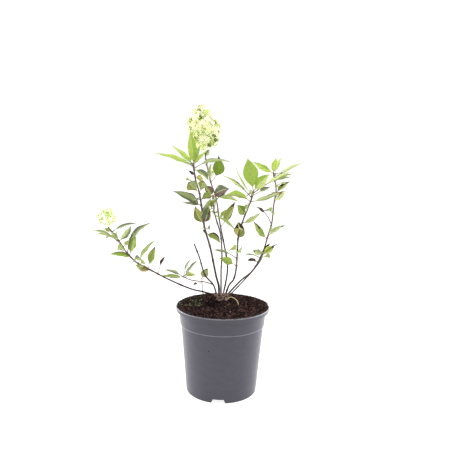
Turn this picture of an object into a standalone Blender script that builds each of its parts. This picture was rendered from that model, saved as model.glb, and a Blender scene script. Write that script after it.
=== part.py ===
"""A young panicle hydrangea in its plastic nursery pot.

The origin is the middle of the pot's standing pad, +Z is up, and -Y faces the viewer.
Sizes in the tables are millimetres, and MM turns them into Blender's metres.
"""

import math
import random

import bmesh
import bpy
from mathutils import Vector, noise
from mathutils.bvhtree import BVHTree

MM = 0.001
GAP = 0.3

# Pot: radii and heights of the turned shell
SEGMENTS = 40
WALL = 1.6
FOOT_RADIUS = 64.3
WALL_TOP_RADIUS = 75.2
WALL_TOP = 123.7
BAND_BOTTOM_RADIUS = 77.0
BAND_BOTTOM = 125.5
BAND_TOP_RADIUS = 79.0
LIP_BOTTOM = 150.0
LIP_RADIUS = 85.0
POT_HEIGHT = 157.0
FLOOR_UNDERSIDE = 7.5
FLOOR_TOP = 9.3
PAD_RADIUS = 14.0
NOTCHES = 4
NOTCH_WIDTH_LOW = 25.0
NOTCH_WIDTH_HIGH = 19.0
NOTCH_HEIGHT = 6.8
FIRST_NOTCH_TURN = 266.0
DRAIN_HOLES = 6
DRAIN_RADIUS = 4.5
DRAIN_CIRCLE = 50.0
DRAIN_SIDES = 10
# How far a cutter reaches past what it cuts
CUT_PAST = 3.0

# Soil: its level and its heaps as (x, y, height, spread)
SOIL_LEVEL = 156.6
SOIL_HEAPS = (
    (-2.0, 13.0, 7.0, 30.0),
    (-30.0, 25.0, 10.5, 13.0),
    (66.0, 14.0, 4.5, 20.0),
    (30.0, -30.0, 1.5, 25.0),
)
SOIL_ROUGHNESS = 1.3
SOIL_RINGS = (15.0, 28.0, 40.0, 52.0, 64.0)

# Rootstock: a half ellipsoid that sits in a pocket of the soil
CROWN = (-2.0, 13.0, 162.5)
CROWN_RADII = (13.0, 9.0, 8.5)
CROWN_TILTS = (0, 22, 44, 66, 82)
CROWN_SIDES = 16
POCKET_SIDES = 20
POCKET_TOP = 188.0

STEM_SIDES = 6
STEM_STEP = 11.0
# A stem rises this far square from the rootstock, and its cut ends have a ring this close behind
FOOT_RISE = 5.0
END_RING = 1.2
END_SPACE = 2.0
LEAF_THICKNESS = 1.1
PETIOLE_RADIUS = 0.65
LEAF_FOLD = 0.18
LEAF_TIP = 0.2
LEAF_SLENDER = 60
LEAF_SHAPE = 0.8
BLADE_PARTS = (0.0, 0.2, 0.48, 0.78)
VIEWER = Vector((0, -1, 0))
SEED = 7

# Stems: foot on the rootstock as (x, y) from its middle, radius at foot and tip, the points
# that the stem passes, and the height at which its foliage begins, None where it has none
STEMS = {
    "low_left": {
        "foot": (-10.0, 3.0),
        "radii": (1.5, 0.8),
        "points": (
            (-37, 20, 176), (-61, 18, 182), (-98, 12, 199), (-132, 6, 218),
            (-157, 0, 233), (-175, -4, 253), (-187, -6, 272), (-201, -8, 291), (-206, -8, 298),
        ),
        "leafy_from": 207,
    },
    "stub": {
        "foot": (-7.0, -3.5),
        "radii": (1.3, 1.0),
        "points": ((-18, 0, 195), (-33, -12, 216), (-42, -26, 249), (-51, -36, 275)),
        "leafy_from": None,
    },
    "tall_left": {
        "foot": (-4.0, 1.0),
        "radii": (1.8, 0.8),
        "points": (
            (-8, 0, 194), (-13, -7, 214), (-23, -24, 265), (-31, -33, 294),
            (-35, -37, 312), (-42, -44, 360), (-49, -47, 385), (-53, -48, 410),
        ),
        "leafy_from": 288,
    },
    "middle_front": {
        "foot": (-1.0, -4.5),
        "radii": (1.2, 0.7),
        "points": ((-4, 6, 221), (-3, 2, 250), (-6, -3, 287), (-14, -6, 314), (-19, -8, 334), (-21, -9, 357)),
        "leafy_from": 326,
    },
    "middle_back": {
        "foot": (2.5, 3.5),
        "radii": (1.4, 0.9),
        "points": (
            (7, 23, 208), (7, 31, 231), (0, 41, 265), (-9, 48, 306),
            (-16, 53, 347), (-27, 56, 379), (-34, 57, 407), (-39, 56, 435),
        ),
        "leafy_from": 288,
    },
    "front_right": {
        "foot": (5.0, -4.5),
        "radii": (1.4, 0.8),
        "points": (
            (11, 2, 194), (19, -6, 207), (23, -17, 230), (24, -30, 265),
            (25, -39, 291), (33, -50, 323), (43, -58, 351), (47, -61, 369),
        ),
        "leafy_from": 228,
    },
    "back_right": {
        "foot": (8.5, 2.5),
        "radii": (1.6, 0.8),
        "points": (
            (32, 23, 197), (56, 31, 217), (74, 42, 249), (84, 50, 281),
            (91, 56, 305), (94, 62, 337), (98, 66, 366), (92, 70, 398),
        ),
        "leafy_from": 268,
    },
    "low_right": {
        "foot": (9.5, -3.0),
        "radii": (1.0, 0.7),
        "points": ((31, 1, 196), (52, -10, 223), (65, -18, 244), (69, -22, 258)),
        "leafy_from": 236,
    },
}

# A side twig that leaves the stub, and a small shoot that stands in the soil by itself
LOW_TWIG = ((-18, 0, 195), (-33, 10, 197), (-58, 18, 198), (-74, 24, 202))
LOW_TWIG_RADII = (0.8, 0.6)
SMALL_SHOOT = ((-39, 62), (-41, 60, 183), (-42, 58, 194))
SMALL_SHOOT_RADII = (0.7, 0.6)

# Leaves: the height of the node on its stem, then the tip's place from there, the width, how
# far the blade turns its face to the viewer in degrees, and how far it arches. A sixth value
# is the part of the length that is stalk.
LEAVES = {
    "low_left": (
        (211, (12, 12, 31), 9, 35, 2),
        (218, (-28, -8, 12), 14, 40, -2),
        (221, (15, -14, 44), 15, 65, 1, 0.22),
        (231, (29, 22, 41), 13, 15, 5),
        (242, (-38, -16, 8), 14, 35, 4),
        (246, (7, 4, 44), 19, 55, -2),
        (250, (42, 18, 55), 12, 30, 13, 0.3),
        (266, (-52, -6, 26), 12, 35, 2, 0.46),
        (266, (-49, 8, 18), 10, 30, 0, 0.5),
        (274, (-11, -10, 17), 12, 40, 0),
        (273, (20, 10, 28), 13, 40, -4),
        (289, (47, -14, 18), 10, 20, 4),
        (291, (-10, -12, 5), 8, 40, 0),
    ),
    "low_twig": (
        (202, (16, -10, 38), 10, 25, 4),
        (202, (27, 12, 33), 11, 30, 1),
        (201, (8, -12, 26), 8, 35, 1),
        (202, (-38, 8, 12), 10, 25, 3),
        (202, (-40, -12, 5), 12, 30, 0),
    ),
    "tall_left": (
        (293, (-6, -6, 8), 5, 45, 0),
        (293, (25, -14, -14), 15, 45, 3),
        (311, (-15, -4, 30), 14, 65, -3),
        (311, (8, -10, 33), 14, 65, -3),
        (315, (13, -16, 41), 13, 45, 2),
        (341, (-49, -12, 26), 16, 40, 4),
        (343, (-35, 12, 3), 10, 30, 0),
        (363, (-17, -22, 19), 20, 90, 0),
        (363, (8, -16, 21), 16, 90, 0),
        (393, (-11, -8, 8), 7, 40, 0),
        (402, (25, -10, -18), 13, 40, 5),
        (390, (14, 12, -7), 10, 45, 2),
        (404, (62, 15, 12), 14, 30, 8),
        (410, (-6, -6, 57), 16, 70, 1),
        (410, (10, 14, 34), 10, 40, 1),
        (410, (24, -12, 25), 9, 30, 1),
        (410, (-41, 14, 34), 12, 35, 2),
        (407, (-65, -18, 21), 14, 30, 4),
    ),
    "middle_front": (
        (351, (-2, -16, -15), 11, 55, 4),
        (355, (48, 12, -9), 13, 15, 4),
        (357, (29, -26, 14), 24, 65, 3),
        (357, (-14, 10, 18), 15, 45, 1),
        (357, (-19, -14, -6), 15, 55, 3),
    ),
    "middle_back": (
        (295, (26, -16, 50), 16, 50, -2, 0.2),
        (310, (22, 14, 19), 11, 30, 2),
        (381, (1, -12, 33), 13, 30, 1),
        (379, (14, -10, 50), 23, 90, -9, 0.3),
        (428, (8, -8, 11), 9, 50, 0),
    ),
    "front_right": (
        (234, (-31, -8, 15), 14, 50, 2, 0.25),
        (248, (-47, 4, 14), 10, 15, 5),
        (285, (0, -12, 31), 18, 50, 0),
        (286, (11, 10, 16), 12, 50, 0),
        (293, (-47, 6, 34), 10, 15, 5),
        (314, (31, -16, 21), 12, 30, -3),
        (327, (-13, -12, 19), 14, 55, 1),
        (351, (-45, -16, 9), 20, 45, 8),
        (351, (55, -16, 21), 15, 30, -2),
        (358, (-54, 12, 38), 15, 30, 4, 0.2),
        (361, (32, 14, 15), 12, 35, 1, 0.4),
        (363, (-28, 14, 45), 11, 15, -4),
        (365, (61, -20, 39), 14, 15, 2),
        (369, (-11, -8, 53), 27, 90, 1),
        (369, (25, -14, 29), 19, 50, 1),
    ),
    "back_right": (
        (274, (-28, -14, 36), 13, 45, -3),
        (278, (33, -12, 24), 13, 30, 3),
        (300, (-31, 14, 33), 7, 40, 6, 0.6),
        (345, (19, -10, 21), 13, 40, -2),
        (360, (28, 12, 23), 13, 35, 1),
        (383, (35, 14, 9), 9, 15, 1),
        (385, (33, -14, 12), 12, 25, 2),
        (389, (57, 12, 31), 13, 20, 2),
        (398, (-41, -14, 21), 12, 35, -1),
        (398, (5, 8, 30), 11, 45, 0),
        (398, (14, -10, 29), 10, 30, 1),
    ),
    "low_right": (
        (242, (-22, 10, 1), 12, 40, 0, 0.25),
        (248, (-33, -8, 8), 8, 20, 4),
        (256, (-17, 10, 6), 13, 45, 0),
        (258, (19, -10, 16), 13, 45, -1),
        (258, (13, 8, 18), 7, 40, 0),
        (258, (27, -14, 21), 7, 20, 1),
    ),
    "small_shoot": (
        (191, (11, -6, 23), 12, 75, 0, 0.15),
        (182, (-17, -8, -3), 6, 50, 3, 0.5),
    ),
}

# The nodes whose leaves point away from the viewer and towards them, which the photograph
# foreshortens: the heights, and the bounds of the seeded rule that shapes each pair
DEPTH_NODES = {
    "low_left": (227, 236, 260, 280),
    "low_twig": (199,),
    "tall_left": (300, 327, 352, 376, 408),
    "middle_front": (335, 347),
    "middle_back": (320, 352, 392, 415),
    "front_right": (262, 304, 336, 362),
    "back_right": (290, 322, 352, 372, 394),
    "low_right": (250,),
}
DEPTH_LENGTH = (32.0, 52.0)
DEPTH_RISE = (0.0, 14.0)
DEPTH_SWING = 22.0
DEPTH_STEP = 2.0
DEPTH_SLENDER = 0.34
DEPTH_FACE = 12.0
DEPTH_ARCH = 4.0
DEPTH_STALK = 0.16

# Blossom: the stem that carries it, foot and top of the head, the widest radius, the florets'
# count and size, how far their roots lie behind them, and the core's share of the head, 0 for none
TOP_BLOSSOM = {
    "stem": "middle_back",
    "foot": (-39, 56, 442),
    "top": (-47, 52, 522),
    "radius": 33.0,
    "florets": 54,
    "floret": 9.0,
    "root": 11.0,
    "core": 0.66,
}
LEFT_BLOSSOM = {
    "stem": "low_left",
    "foot": (-206, -8, 300),
    "top": (-211, -9, 333),
    "radius": 20.5,
    "florets": 20,
    "floret": 5.5,
    "root": 3.0,
    "core": 0.0,
}
CORE_PARTS = (0.12, 0.3, 0.5, 0.7, 0.88)
CORE_SIDES = 10
CORE_TIP = 2.5
AXIS_RADII = (0.9, 0.6)
AXIS_PARTS = (0.12, 0.35, 0.8)
AXIS_NECK = 0.8
STALK_RADII = (0.6, 0.5)
FLORET_EYE = 0.12
FLORET_LIFT = 0.22
FLORET_WAIST = 0.42
FLORET_SIZES = (0.85, 1.1)
GOLDEN_TURN = math.radians(137.5)
TURN_SPREAD = 0.2
# Where the head is widest, how blunt its ends are, and how far its florets look up or down
WIDEST = 0.46
BLUNTNESS = 2.4
LOOK_UP = 1.5
# A stalk leaves the axis this share of its length below its floret, between these shares
FORK_BELOW = 0.25
FORK_LIMITS = (0.1, 0.72)

COLOURS = {
    "pot": ((0.105, 0.098, 0.125), 0.4),
    "soil": ((0.030, 0.022, 0.016), 0.95),
    "bark": ((0.130, 0.070, 0.050), 0.7),
    "leaf": ((0.200, 0.310, 0.060), 0.5),
    "blossom": ((0.620, 0.700, 0.300), 0.6),
}


def remove_startup_objects():
    for obj in list(bpy.data.objects):
        bpy.data.objects.remove(obj)


def material(name, kind):
    colour, roughness = COLOURS[kind]
    made = bpy.data.materials.new(name)
    made.use_nodes = True
    surface = made.node_tree.nodes["Principled BSDF"]
    surface.inputs["Base Color"].default_value = (*colour, 1.0)
    surface.inputs["Roughness"].default_value = roughness
    surface.inputs["Metallic"].default_value = 0.0
    return made


def solid(name, points, faces, kind):
    """An object from points in millimetres, with its faces turned outwards."""
    mesh = bpy.data.meshes.new(name)
    bm = bmesh.new()
    verts = [bm.verts.new(Vector(p) * MM) for p in points]
    for face in faces:
        bm.faces.new([verts[i] for i in face])
    bmesh.ops.recalc_face_normals(bm, faces=bm.faces)
    bm.to_mesh(mesh)
    bm.free()
    mesh.materials.append(material(name, kind))
    obj = bpy.data.objects.new(name, mesh)
    bpy.context.scene.collection.objects.link(obj)
    return obj


def smooth(obj, angle=40.0):
    obj.data.shade_smooth()
    obj.data.set_sharp_from_angle(angle=math.radians(angle))


def apply_modifiers(obj):
    """Turns an object's evaluated shape into its own mesh."""
    graph = bpy.context.evaluated_depsgraph_get()
    mesh = bpy.data.meshes.new_from_object(obj.evaluated_get(graph))
    obj.modifiers.clear()
    obj.data = mesh


def boolean(obj, operation, others, solver="EXACT"):
    """Cuts or joins other objects in one step, applies it and removes them."""
    group = bpy.data.collections.new(obj.name + "_tools")
    bpy.context.scene.collection.children.link(group)
    for other in others:
        bpy.context.scene.collection.objects.unlink(other)
        group.objects.link(other)
    step = obj.modifiers.new("step", "BOOLEAN")
    step.operation = operation
    step.operand_type = "COLLECTION"
    step.collection = group
    step.solver = solver
    apply_modifiers(obj)
    for other in others:
        bpy.data.objects.remove(other)
    bpy.data.collections.remove(group)


def ring(radius, height, segments=SEGMENTS):
    turns = [2 * math.pi * i / segments for i in range(segments)]
    return [(radius * math.cos(t), radius * math.sin(t), height) for t in turns]


def lofted(name, rings, kind):
    """A solid from rings of equal count, closed by a face at either end."""
    count = len(rings[0])
    points = [p for r in rings for p in r]
    faces = [tuple(range(count)), tuple(range(len(points) - count, len(points)))]
    for low in range(0, len(points) - count, count):
        for i in range(count):
            j = (i + 1) % count
            faces.append((low + i, low + j, low + count + j, low + count + i))
    return solid(name, points, faces, kind)


def wall_radius(height):
    """Outer radius of the pot's wall below the band."""
    return FOOT_RADIUS + (WALL_TOP_RADIUS - FOOT_RADIUS) * height / WALL_TOP


def pot_profile():
    """(radius, height) from the middle of the underside, out, up and in to the middle of the floor."""
    skirt = FOOT_RADIUS - WALL
    return (
        (PAD_RADIUS, 0.0),
        (PAD_RADIUS + 1.5, FLOOR_UNDERSIDE),
        (skirt, FLOOR_UNDERSIDE),
        (skirt, 0.0),
        (FOOT_RADIUS - 0.6, 0.0),
        (FOOT_RADIUS + 0.2, 1.2),
        (WALL_TOP_RADIUS, WALL_TOP),
        (BAND_BOTTOM_RADIUS, BAND_BOTTOM),
        (BAND_TOP_RADIUS, LIP_BOTTOM - 1.0),
        (BAND_TOP_RADIUS + 0.4, POT_HEIGHT - WALL),
        (LIP_RADIUS - WALL, POT_HEIGHT - WALL),
        (LIP_RADIUS - WALL + 0.2, LIP_BOTTOM),
        (LIP_RADIUS - 0.3, LIP_BOTTOM),
        (LIP_RADIUS, POT_HEIGHT - 0.9),
        (LIP_RADIUS - 0.9, POT_HEIGHT),
        (BAND_TOP_RADIUS - WALL + 0.8, POT_HEIGHT),
        (BAND_TOP_RADIUS - WALL, POT_HEIGHT - 0.8),
        (BAND_BOTTOM_RADIUS - WALL, BAND_BOTTOM - 0.4),
        (WALL_TOP_RADIUS - WALL, WALL_TOP - 0.4),
        (wall_radius(FLOOR_TOP) - WALL, FLOOR_TOP),
    )


def notch_cutter(turn):
    """A wedge through the foot, wide at the ground and narrower above."""
    out = Vector((math.cos(turn), math.sin(turn), 0))
    side = Vector((-out.y, out.x, 0))
    rings = []
    flare = (NOTCH_WIDTH_LOW - NOTCH_WIDTH_HIGH) / NOTCH_HEIGHT
    for radius in (FOOT_RADIUS - WALL - 2 * CUT_PAST, FOOT_RADIUS + CUT_PAST):
        corners = []
        for width, height in ((NOTCH_WIDTH_LOW + flare, -1.0), (NOTCH_WIDTH_HIGH, NOTCH_HEIGHT)):
            for way in ((-1, 1) if height < 0 else (1, -1)):
                corners.append(out * radius + side * (way * width / 2) + Vector((0, 0, height)))
        rings.append(corners)
    return lofted("notch_cutter", rings, "pot")


def drain_cutter(turn):
    place = Vector((DRAIN_CIRCLE * math.cos(turn), DRAIN_CIRCLE * math.sin(turn), 0))
    rings = [
        [place + Vector(p) for p in ring(DRAIN_RADIUS, height, DRAIN_SIDES)]
        for height in (FLOOR_UNDERSIDE - CUT_PAST, FLOOR_TOP + CUT_PAST)
    ]
    return lofted("drain_cutter", rings, "pot")


def make_pot():
    """The shell with its rolled lip, stepped band, raised floor, notched foot and drain holes."""
    pot = lofted("pot", [ring(r, z) for r, z in pot_profile()], "pot")
    first = math.radians(FIRST_NOTCH_TURN)
    cutters = [notch_cutter(first + 2 * math.pi * i / NOTCHES) for i in range(NOTCHES)]
    cutters += [drain_cutter(2 * math.pi * (i + 0.5) / DRAIN_HOLES) for i in range(DRAIN_HOLES)]
    boolean(pot, "DIFFERENCE", cutters)
    smooth(pot)
    return pot


def soil_height(x, y):
    height = SOIL_LEVEL + SOIL_ROUGHNESS * noise.noise(Vector((x, y, 5.0)) / 9.0)
    for hx, hy, high, spread in SOIL_HEAPS:
        height += high * math.exp(-((x - hx) ** 2 + (y - hy) ** 2) / spread**2)
    return height


def make_soil():
    """The filled inside of the pot, with a heaped top and a pocket for the rootstock."""
    rings = [
        ring(wall_radius(FLOOR_TOP) - WALL - GAP, FLOOR_TOP + GAP),
        ring(WALL_TOP_RADIUS - WALL - GAP, WALL_TOP - 0.4),
        ring(BAND_BOTTOM_RADIUS - WALL - GAP, BAND_BOTTOM),
    ]
    edge = BAND_TOP_RADIUS - WALL - GAP
    for radius in (edge, *reversed(SOIL_RINGS), 3.0):
        rings.append([(x, y, soil_height(x, y)) for x, y, _ in ring(radius, 0)])
    soil = lofted("soil", rings, "soil")
    x, y, z = CROWN
    pocket = []
    for height in (z - GAP, POCKET_TOP):
        pocket.append(
            [
                (x + px * (CROWN_RADII[0] + 2 * GAP), y + py * (CROWN_RADII[1] + 2 * GAP), height)
                for px, py, _ in ring(1.0, 0, POCKET_SIDES)
            ]
        )
    boolean(soil, "DIFFERENCE", [lofted("pocket_cutter", pocket, "soil")])
    return soil


def on_crown(x, y):
    """The point of the rootstock's surface above (x, y) from its middle, and its outward way."""
    a, b, c = CROWN_RADII
    z = c * math.sqrt(1 - (x / a) ** 2 - (y / b) ** 2)
    return Vector(CROWN) + Vector((x, y, z)), Vector((x / a**2, y / b**2, z / c**2)).normalized()


def make_crown():
    """The woody rootstock, cut flat where it sits in the soil."""
    rings = []
    for tilt in CROWN_TILTS:
        across = math.cos(math.radians(tilt))
        up = math.sin(math.radians(tilt))
        rings.append(
            [
                (
                    CROWN[0] + CROWN_RADII[0] * across * px,
                    CROWN[1] + CROWN_RADII[1] * across * py,
                    CROWN[2] + CROWN_RADII[2] * up,
                )
                for px, py, _ in ring(1.0, 0, CROWN_SIDES)
            ]
        )
    return lofted("rootstock", rings, "bark")


def smooth_path(points, step=STEM_STEP):
    """Points about a step apart on a Catmull-Rom curve through the given ones."""
    pts = [Vector(p) for p in points]
    pts = [2 * pts[0] - pts[1], *pts, 2 * pts[-1] - pts[-2]]
    path = []
    for p0, p1, p2, p3 in zip(pts, pts[1:], pts[2:], pts[3:]):
        count = max(1, round((p2 - p1).length / step))
        for i in range(count):
            t = i / count
            path.append(
                0.5
                * (
                    2 * p1
                    + (p2 - p0) * t
                    + (2 * p0 - 5 * p1 + 4 * p2 - p3) * t**2
                    + (3 * p1 - p0 - 3 * p2 + p3) * t**3
                )
            )
    return [*path, pts[-2]]


def split_path(path, height):
    """The path below and above a height, parted by the gap along its own direction."""
    cut = next(i for i, p in enumerate(path) if p.z > height)
    below, above = path[cut - 1], path[cut]
    along = (above - below).normalized()
    place = below + (above - below) * ((height - below.z) / (above.z - below.z))
    low = [p for p in path[:cut] if (p - place).length > END_SPACE]
    high = [p for p in path[cut:] if (p - place).length > END_SPACE]
    end = [place - along * (GAP / 2 + END_RING), place - along * GAP / 2]
    start = [place + along * GAP / 2, place + along * (GAP / 2 + END_RING)]
    return [*low, *end], [*start, *high]


def tube_rings(path, radii, sides=STEM_SIDES):
    """Rings along a path, with the radius running from the first value to the second."""
    ways = [(b - a).normalized() for a, b in zip(path, path[1:])]
    ways = [ways[0], *[(a + b).normalized() for a, b in zip(ways, ways[1:])], ways[-1]]
    across = ways[0].orthogonal().normalized()
    rings = []
    for i, (place, way) in enumerate(zip(path, ways)):
        across = (across - way * across.dot(way)).normalized()
        other = way.cross(across)
        radius = radii[0] + (radii[1] - radii[0]) * i / (len(path) - 1)
        turns = [2 * math.pi * k / sides for k in range(sides)]
        rings.append([place + (across * math.cos(t) + other * math.sin(t)) * radius for t in turns])
    return rings


def stem_path(stem):
    """The whole line of a stem, from its seat on the rootstock to its tip."""
    seat, way = on_crown(*stem["foot"])
    foot = seat + way * GAP
    return smooth_path([foot, foot + way * FOOT_RISE, *stem["points"]])


def tree_of(obj):
    """The faces of an object, for tests of what touches what."""
    points = [v.co for v in obj.data.vertices]
    return BVHTree.FromPolygons(points, [tuple(p.vertices) for p in obj.data.polygons])


def blade_frame(along, face):
    """The way a leaf's face looks, the way across its blade and the way it arches."""
    upward = (Vector((0, 0, 1)) - along * along.z).normalized()
    front = (VIEWER - along * along.dot(VIEWER)).normalized()
    side = along.cross(front)
    if side.z < 0:
        side = -side
    turned = math.radians(face)
    looks = side * math.cos(turned) + front * math.sin(turned)
    return looks, along.cross(looks), upward


def leaf_rings(root, reach, width, face, bow, stalk=0.12, swell=0.0):
    """Rings of a folded blade on its stalk: four points each, the last ones at the tip."""
    reach = Vector(reach)
    looks, across, upward = blade_frame(reach.normalized(), face)
    thick = max(LEAF_THICKNESS, reach.length / LEAF_SLENDER) / 2
    levels = [(0.0, PETIOLE_RADIUS, thick)]
    for part in BLADE_PARTS:
        half = max(width / 2 * math.sin(math.pi * part**LEAF_SHAPE), PETIOLE_RADIUS)
        levels.append((stalk + (1 - stalk) * part, half, thick))
    levels.append((1.0, LEAF_TIP, LEAF_TIP))
    rings = []
    for t, half, deep in levels:
        middle = root + reach * t + upward * (bow * 4 * t * (1 - t))
        wide = across * (half + swell)
        deep = looks * (deep + swell)
        lift = looks * (LEAF_FOLD * (half - PETIOLE_RADIUS))
        rings.append([middle + wide + lift, middle + deep, middle - wide + lift, middle - deep])
    return rings


def place_at(path, height):
    """The point of a stem's line at a height."""
    for low, high in zip(path, path[1:]):
        if low.z <= height <= high.z:
            return low + (high - low) * ((height - low.z) / (high.z - low.z))
    return path[-1] if height > path[-1].z else path[0]


def depth_leaves(name, rule):
    """A pair at each node, one leaf away from the viewer and one towards it, by a seeded rule."""
    rows = []
    for height in DEPTH_NODES.get(name, ()):
        for side in (1, -1):
            turn = math.radians(side * 90 + rule.uniform(-DEPTH_SWING, DEPTH_SWING))
            rise = math.radians(-side * rule.uniform(*DEPTH_RISE))
            length = rule.uniform(*DEPTH_LENGTH)
            level = length * math.cos(rise)
            reach = (level * math.cos(turn), level * math.sin(turn), length * math.sin(rise))
            width = length * DEPTH_SLENDER
            place = height + DEPTH_STEP * side
            rows.append((place, reach, width, DEPTH_FACE * side, DEPTH_ARCH, DEPTH_STALK))
    return rows


def make_mass(name, path, radii, around):
    """The leafy part of a stem: one solid with every leaf that keeps clear of what is around."""
    stem = lofted("foliage_" + name, tube_rings(path, radii), "leaf")
    rule = random.Random(f"{SEED} {name}")
    leaves = []
    for row in (*LEAVES[name], *depth_leaves(name, rule)):
        root = place_at(path, row[0])
        room = lofted("room", leaf_rings(root, *row[1:], swell=GAP * 1.5), "leaf")
        blocked = any(tree_of(room).overlap(other) for other in around)
        bpy.data.objects.remove(room)
        if not blocked:
            leaves.append(lofted("leaf", leaf_rings(root, *row[1:]), "leaf"))
    boolean(stem, "UNION", leaves)
    return stem


def make_floret(place, out, size, turn, root):
    """Four spread sepals as a flat star, drawn to a point behind it at its root."""
    across = out.orthogonal().normalized()
    other = out.cross(across)
    points = [place + out * size * FLORET_EYE, root]
    for i in range(8):
        t = turn + math.pi * i / 4
        wide, lift = (1.0, FLORET_LIFT) if i % 2 == 0 else (FLORET_WAIST, 0.0)
        points.append(place + (across * math.cos(t) + other * math.sin(t)) * size * wide + out * size * lift)
    faces = []
    for i in range(8):
        here, there = 2 + i, 2 + (i + 1) % 8
        faces.append((0, here, there))
        faces.append((1, there, here))
    return solid("floret", points, faces, "blossom")


def blossom_radius(part):
    """The head's radius as a share of its widest, from its foot at 0 to its top at 1."""
    return math.sqrt(max(0.0, 1 - abs(2 * (part - WIDEST)) ** BLUNTNESS))


def floret_places(head, rule):
    """(place, outward way) of each floret, spread evenly over the head by a turning rule."""
    foot, top = Vector(head["foot"]), Vector(head["top"])
    places = []
    for i in range(head["florets"]):
        part = 0.05 + 0.93 * (i + 0.5) / head["florets"]
        turn = i * GOLDEN_TURN + rule.uniform(-TURN_SPREAD, TURN_SPREAD)
        flat = Vector((math.cos(turn), math.sin(turn), 0))
        out = (flat + Vector((0, 0, LOOK_UP * (part - WIDEST)))).normalized()
        inset = head["floret"] * 0.55 * (1 - abs(out.z))
        reach = max(head["radius"] * blossom_radius(part) - inset, 0.5)
        low = head["floret"] * 0.35 * max(0.0, out.z)
        places.append((foot.lerp(top, part) + flat * reach - Vector((0, 0, low)), out))
    return places


def blossom_core(head):
    """A smaller head inside a dense one, for its florets to stand out of."""
    foot, top = Vector(head["foot"]), Vector(head["top"])
    levels = [(CORE_PARTS[0] / 3, CORE_TIP)]
    levels += [(part, head["radius"] * blossom_radius(part) * head["core"]) for part in CORE_PARTS]
    levels.append(((CORE_PARTS[-1] + 1) / 2, CORE_TIP))
    rings = [[foot.lerp(top, part) + Vector(p) for p in ring(wide, 0, CORE_SIDES)] for part, wide in levels]
    return lofted("core", rings, "blossom")


def make_blossom(name, head, path):
    """A panicle on its stem's tip: axis and florets, round a core if dense, on stalks if open."""
    rule = random.Random(f"{SEED} {name}")
    foot, top = Vector(head["foot"]), Vector(head["top"])
    way = (path[-1] - path[-2]).normalized()
    seat = path[-1] + way * GAP
    line = [seat, seat + way * AXIS_NECK, *[foot.lerp(top, part) for part in AXIS_PARTS]]
    axis = lofted(name, tube_rings(line, AXIS_RADII), "blossom")
    pieces = [blossom_core(head)] if head["core"] else []
    for place, out in floret_places(head, rule):
        root = place - out * head["root"]
        size = head["floret"] * rule.uniform(*FLORET_SIZES)
        pieces.append(make_floret(place, out, size, rule.uniform(0, 1.5), root))
        if not head["core"]:
            share = (place - foot).dot(top - foot) / (top - foot).length_squared
            fork = foot.lerp(top, min(max(share - FORK_BELOW, FORK_LIMITS[0]), FORK_LIMITS[1]))
            pieces.append(lofted("stalk", tube_rings([fork, root + out], STALK_RADII, 3), "blossom"))
    boolean(axis, "UNION", pieces)
    return axis


def main():
    remove_startup_objects()
    pot = make_pot()
    soil = make_soil()
    crown = make_crown()
    limbs = [pot, soil, crown]
    leafy = {}
    for name, stem in STEMS.items():
        path = stem_path(stem)
        radii = stem["radii"]
        if stem["leafy_from"] is not None:
            low, high = split_path(path, stem["leafy_from"])
            middle = radii[0] + (radii[1] - radii[0]) * len(low) / len(path)
            leafy[name] = (high, (middle, radii[1]))
            path, radii = low, (radii[0], middle)
        bough = lofted("bough_" + name, tube_rings(path, radii), "bark")
        smooth(bough, 70)
        limbs.append(bough)

    way = (Vector(LOW_TWIG[1]) - Vector(LOW_TWIG[0])).normalized()
    seat = Vector(LOW_TWIG[0]) + way * (STEMS["stub"]["radii"][0] + GAP)
    leafy["low_twig"] = (smooth_path([seat, *LOW_TWIG[1:]]), LOW_TWIG_RADII)
    x, y = SMALL_SHOOT[0]
    ground = tree_of(soil).ray_cast(Vector((x, y, 300)) * MM, Vector((0, 0, -1)))[0].z / MM
    leafy["small_shoot"] = (smooth_path([(x, y, ground + 2 * GAP), *SMALL_SHOOT[1:]]), SMALL_SHOOT_RADII)

    heads = [
        make_blossom("blossom_top", TOP_BLOSSOM, stem_path(STEMS[TOP_BLOSSOM["stem"]])),
        make_blossom("blossom_left", LEFT_BLOSSOM, stem_path(STEMS[LEFT_BLOSSOM["stem"]])),
    ]
    around = {obj.name: tree_of(obj) for obj in limbs + heads}
    for name, (path, radii) in leafy.items():
        guide = lofted("foliage_" + name, tube_rings(path, radii), "leaf")
        around[guide.name] = tree_of(guide)
        bpy.data.objects.remove(guide)
    for name, (path, radii) in leafy.items():
        own = "foliage_" + name
        mass = make_mass(name, path, radii, [tree for key, tree in around.items() if key != own])
        around[own] = tree_of(mass)


main()
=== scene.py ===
"""The looks of a young panicle hydrangea in its plastic nursery pot.

Tables are in millimetres and are turned into Blender's metres when a mesh is made. Stems, leaves
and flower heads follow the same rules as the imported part, carried on to finer shapes.
"""

import math
import random

import bmesh
import bpy
from mathutils import Matrix, Vector, noise
from mathutils.bvhtree import BVHTree


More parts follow.
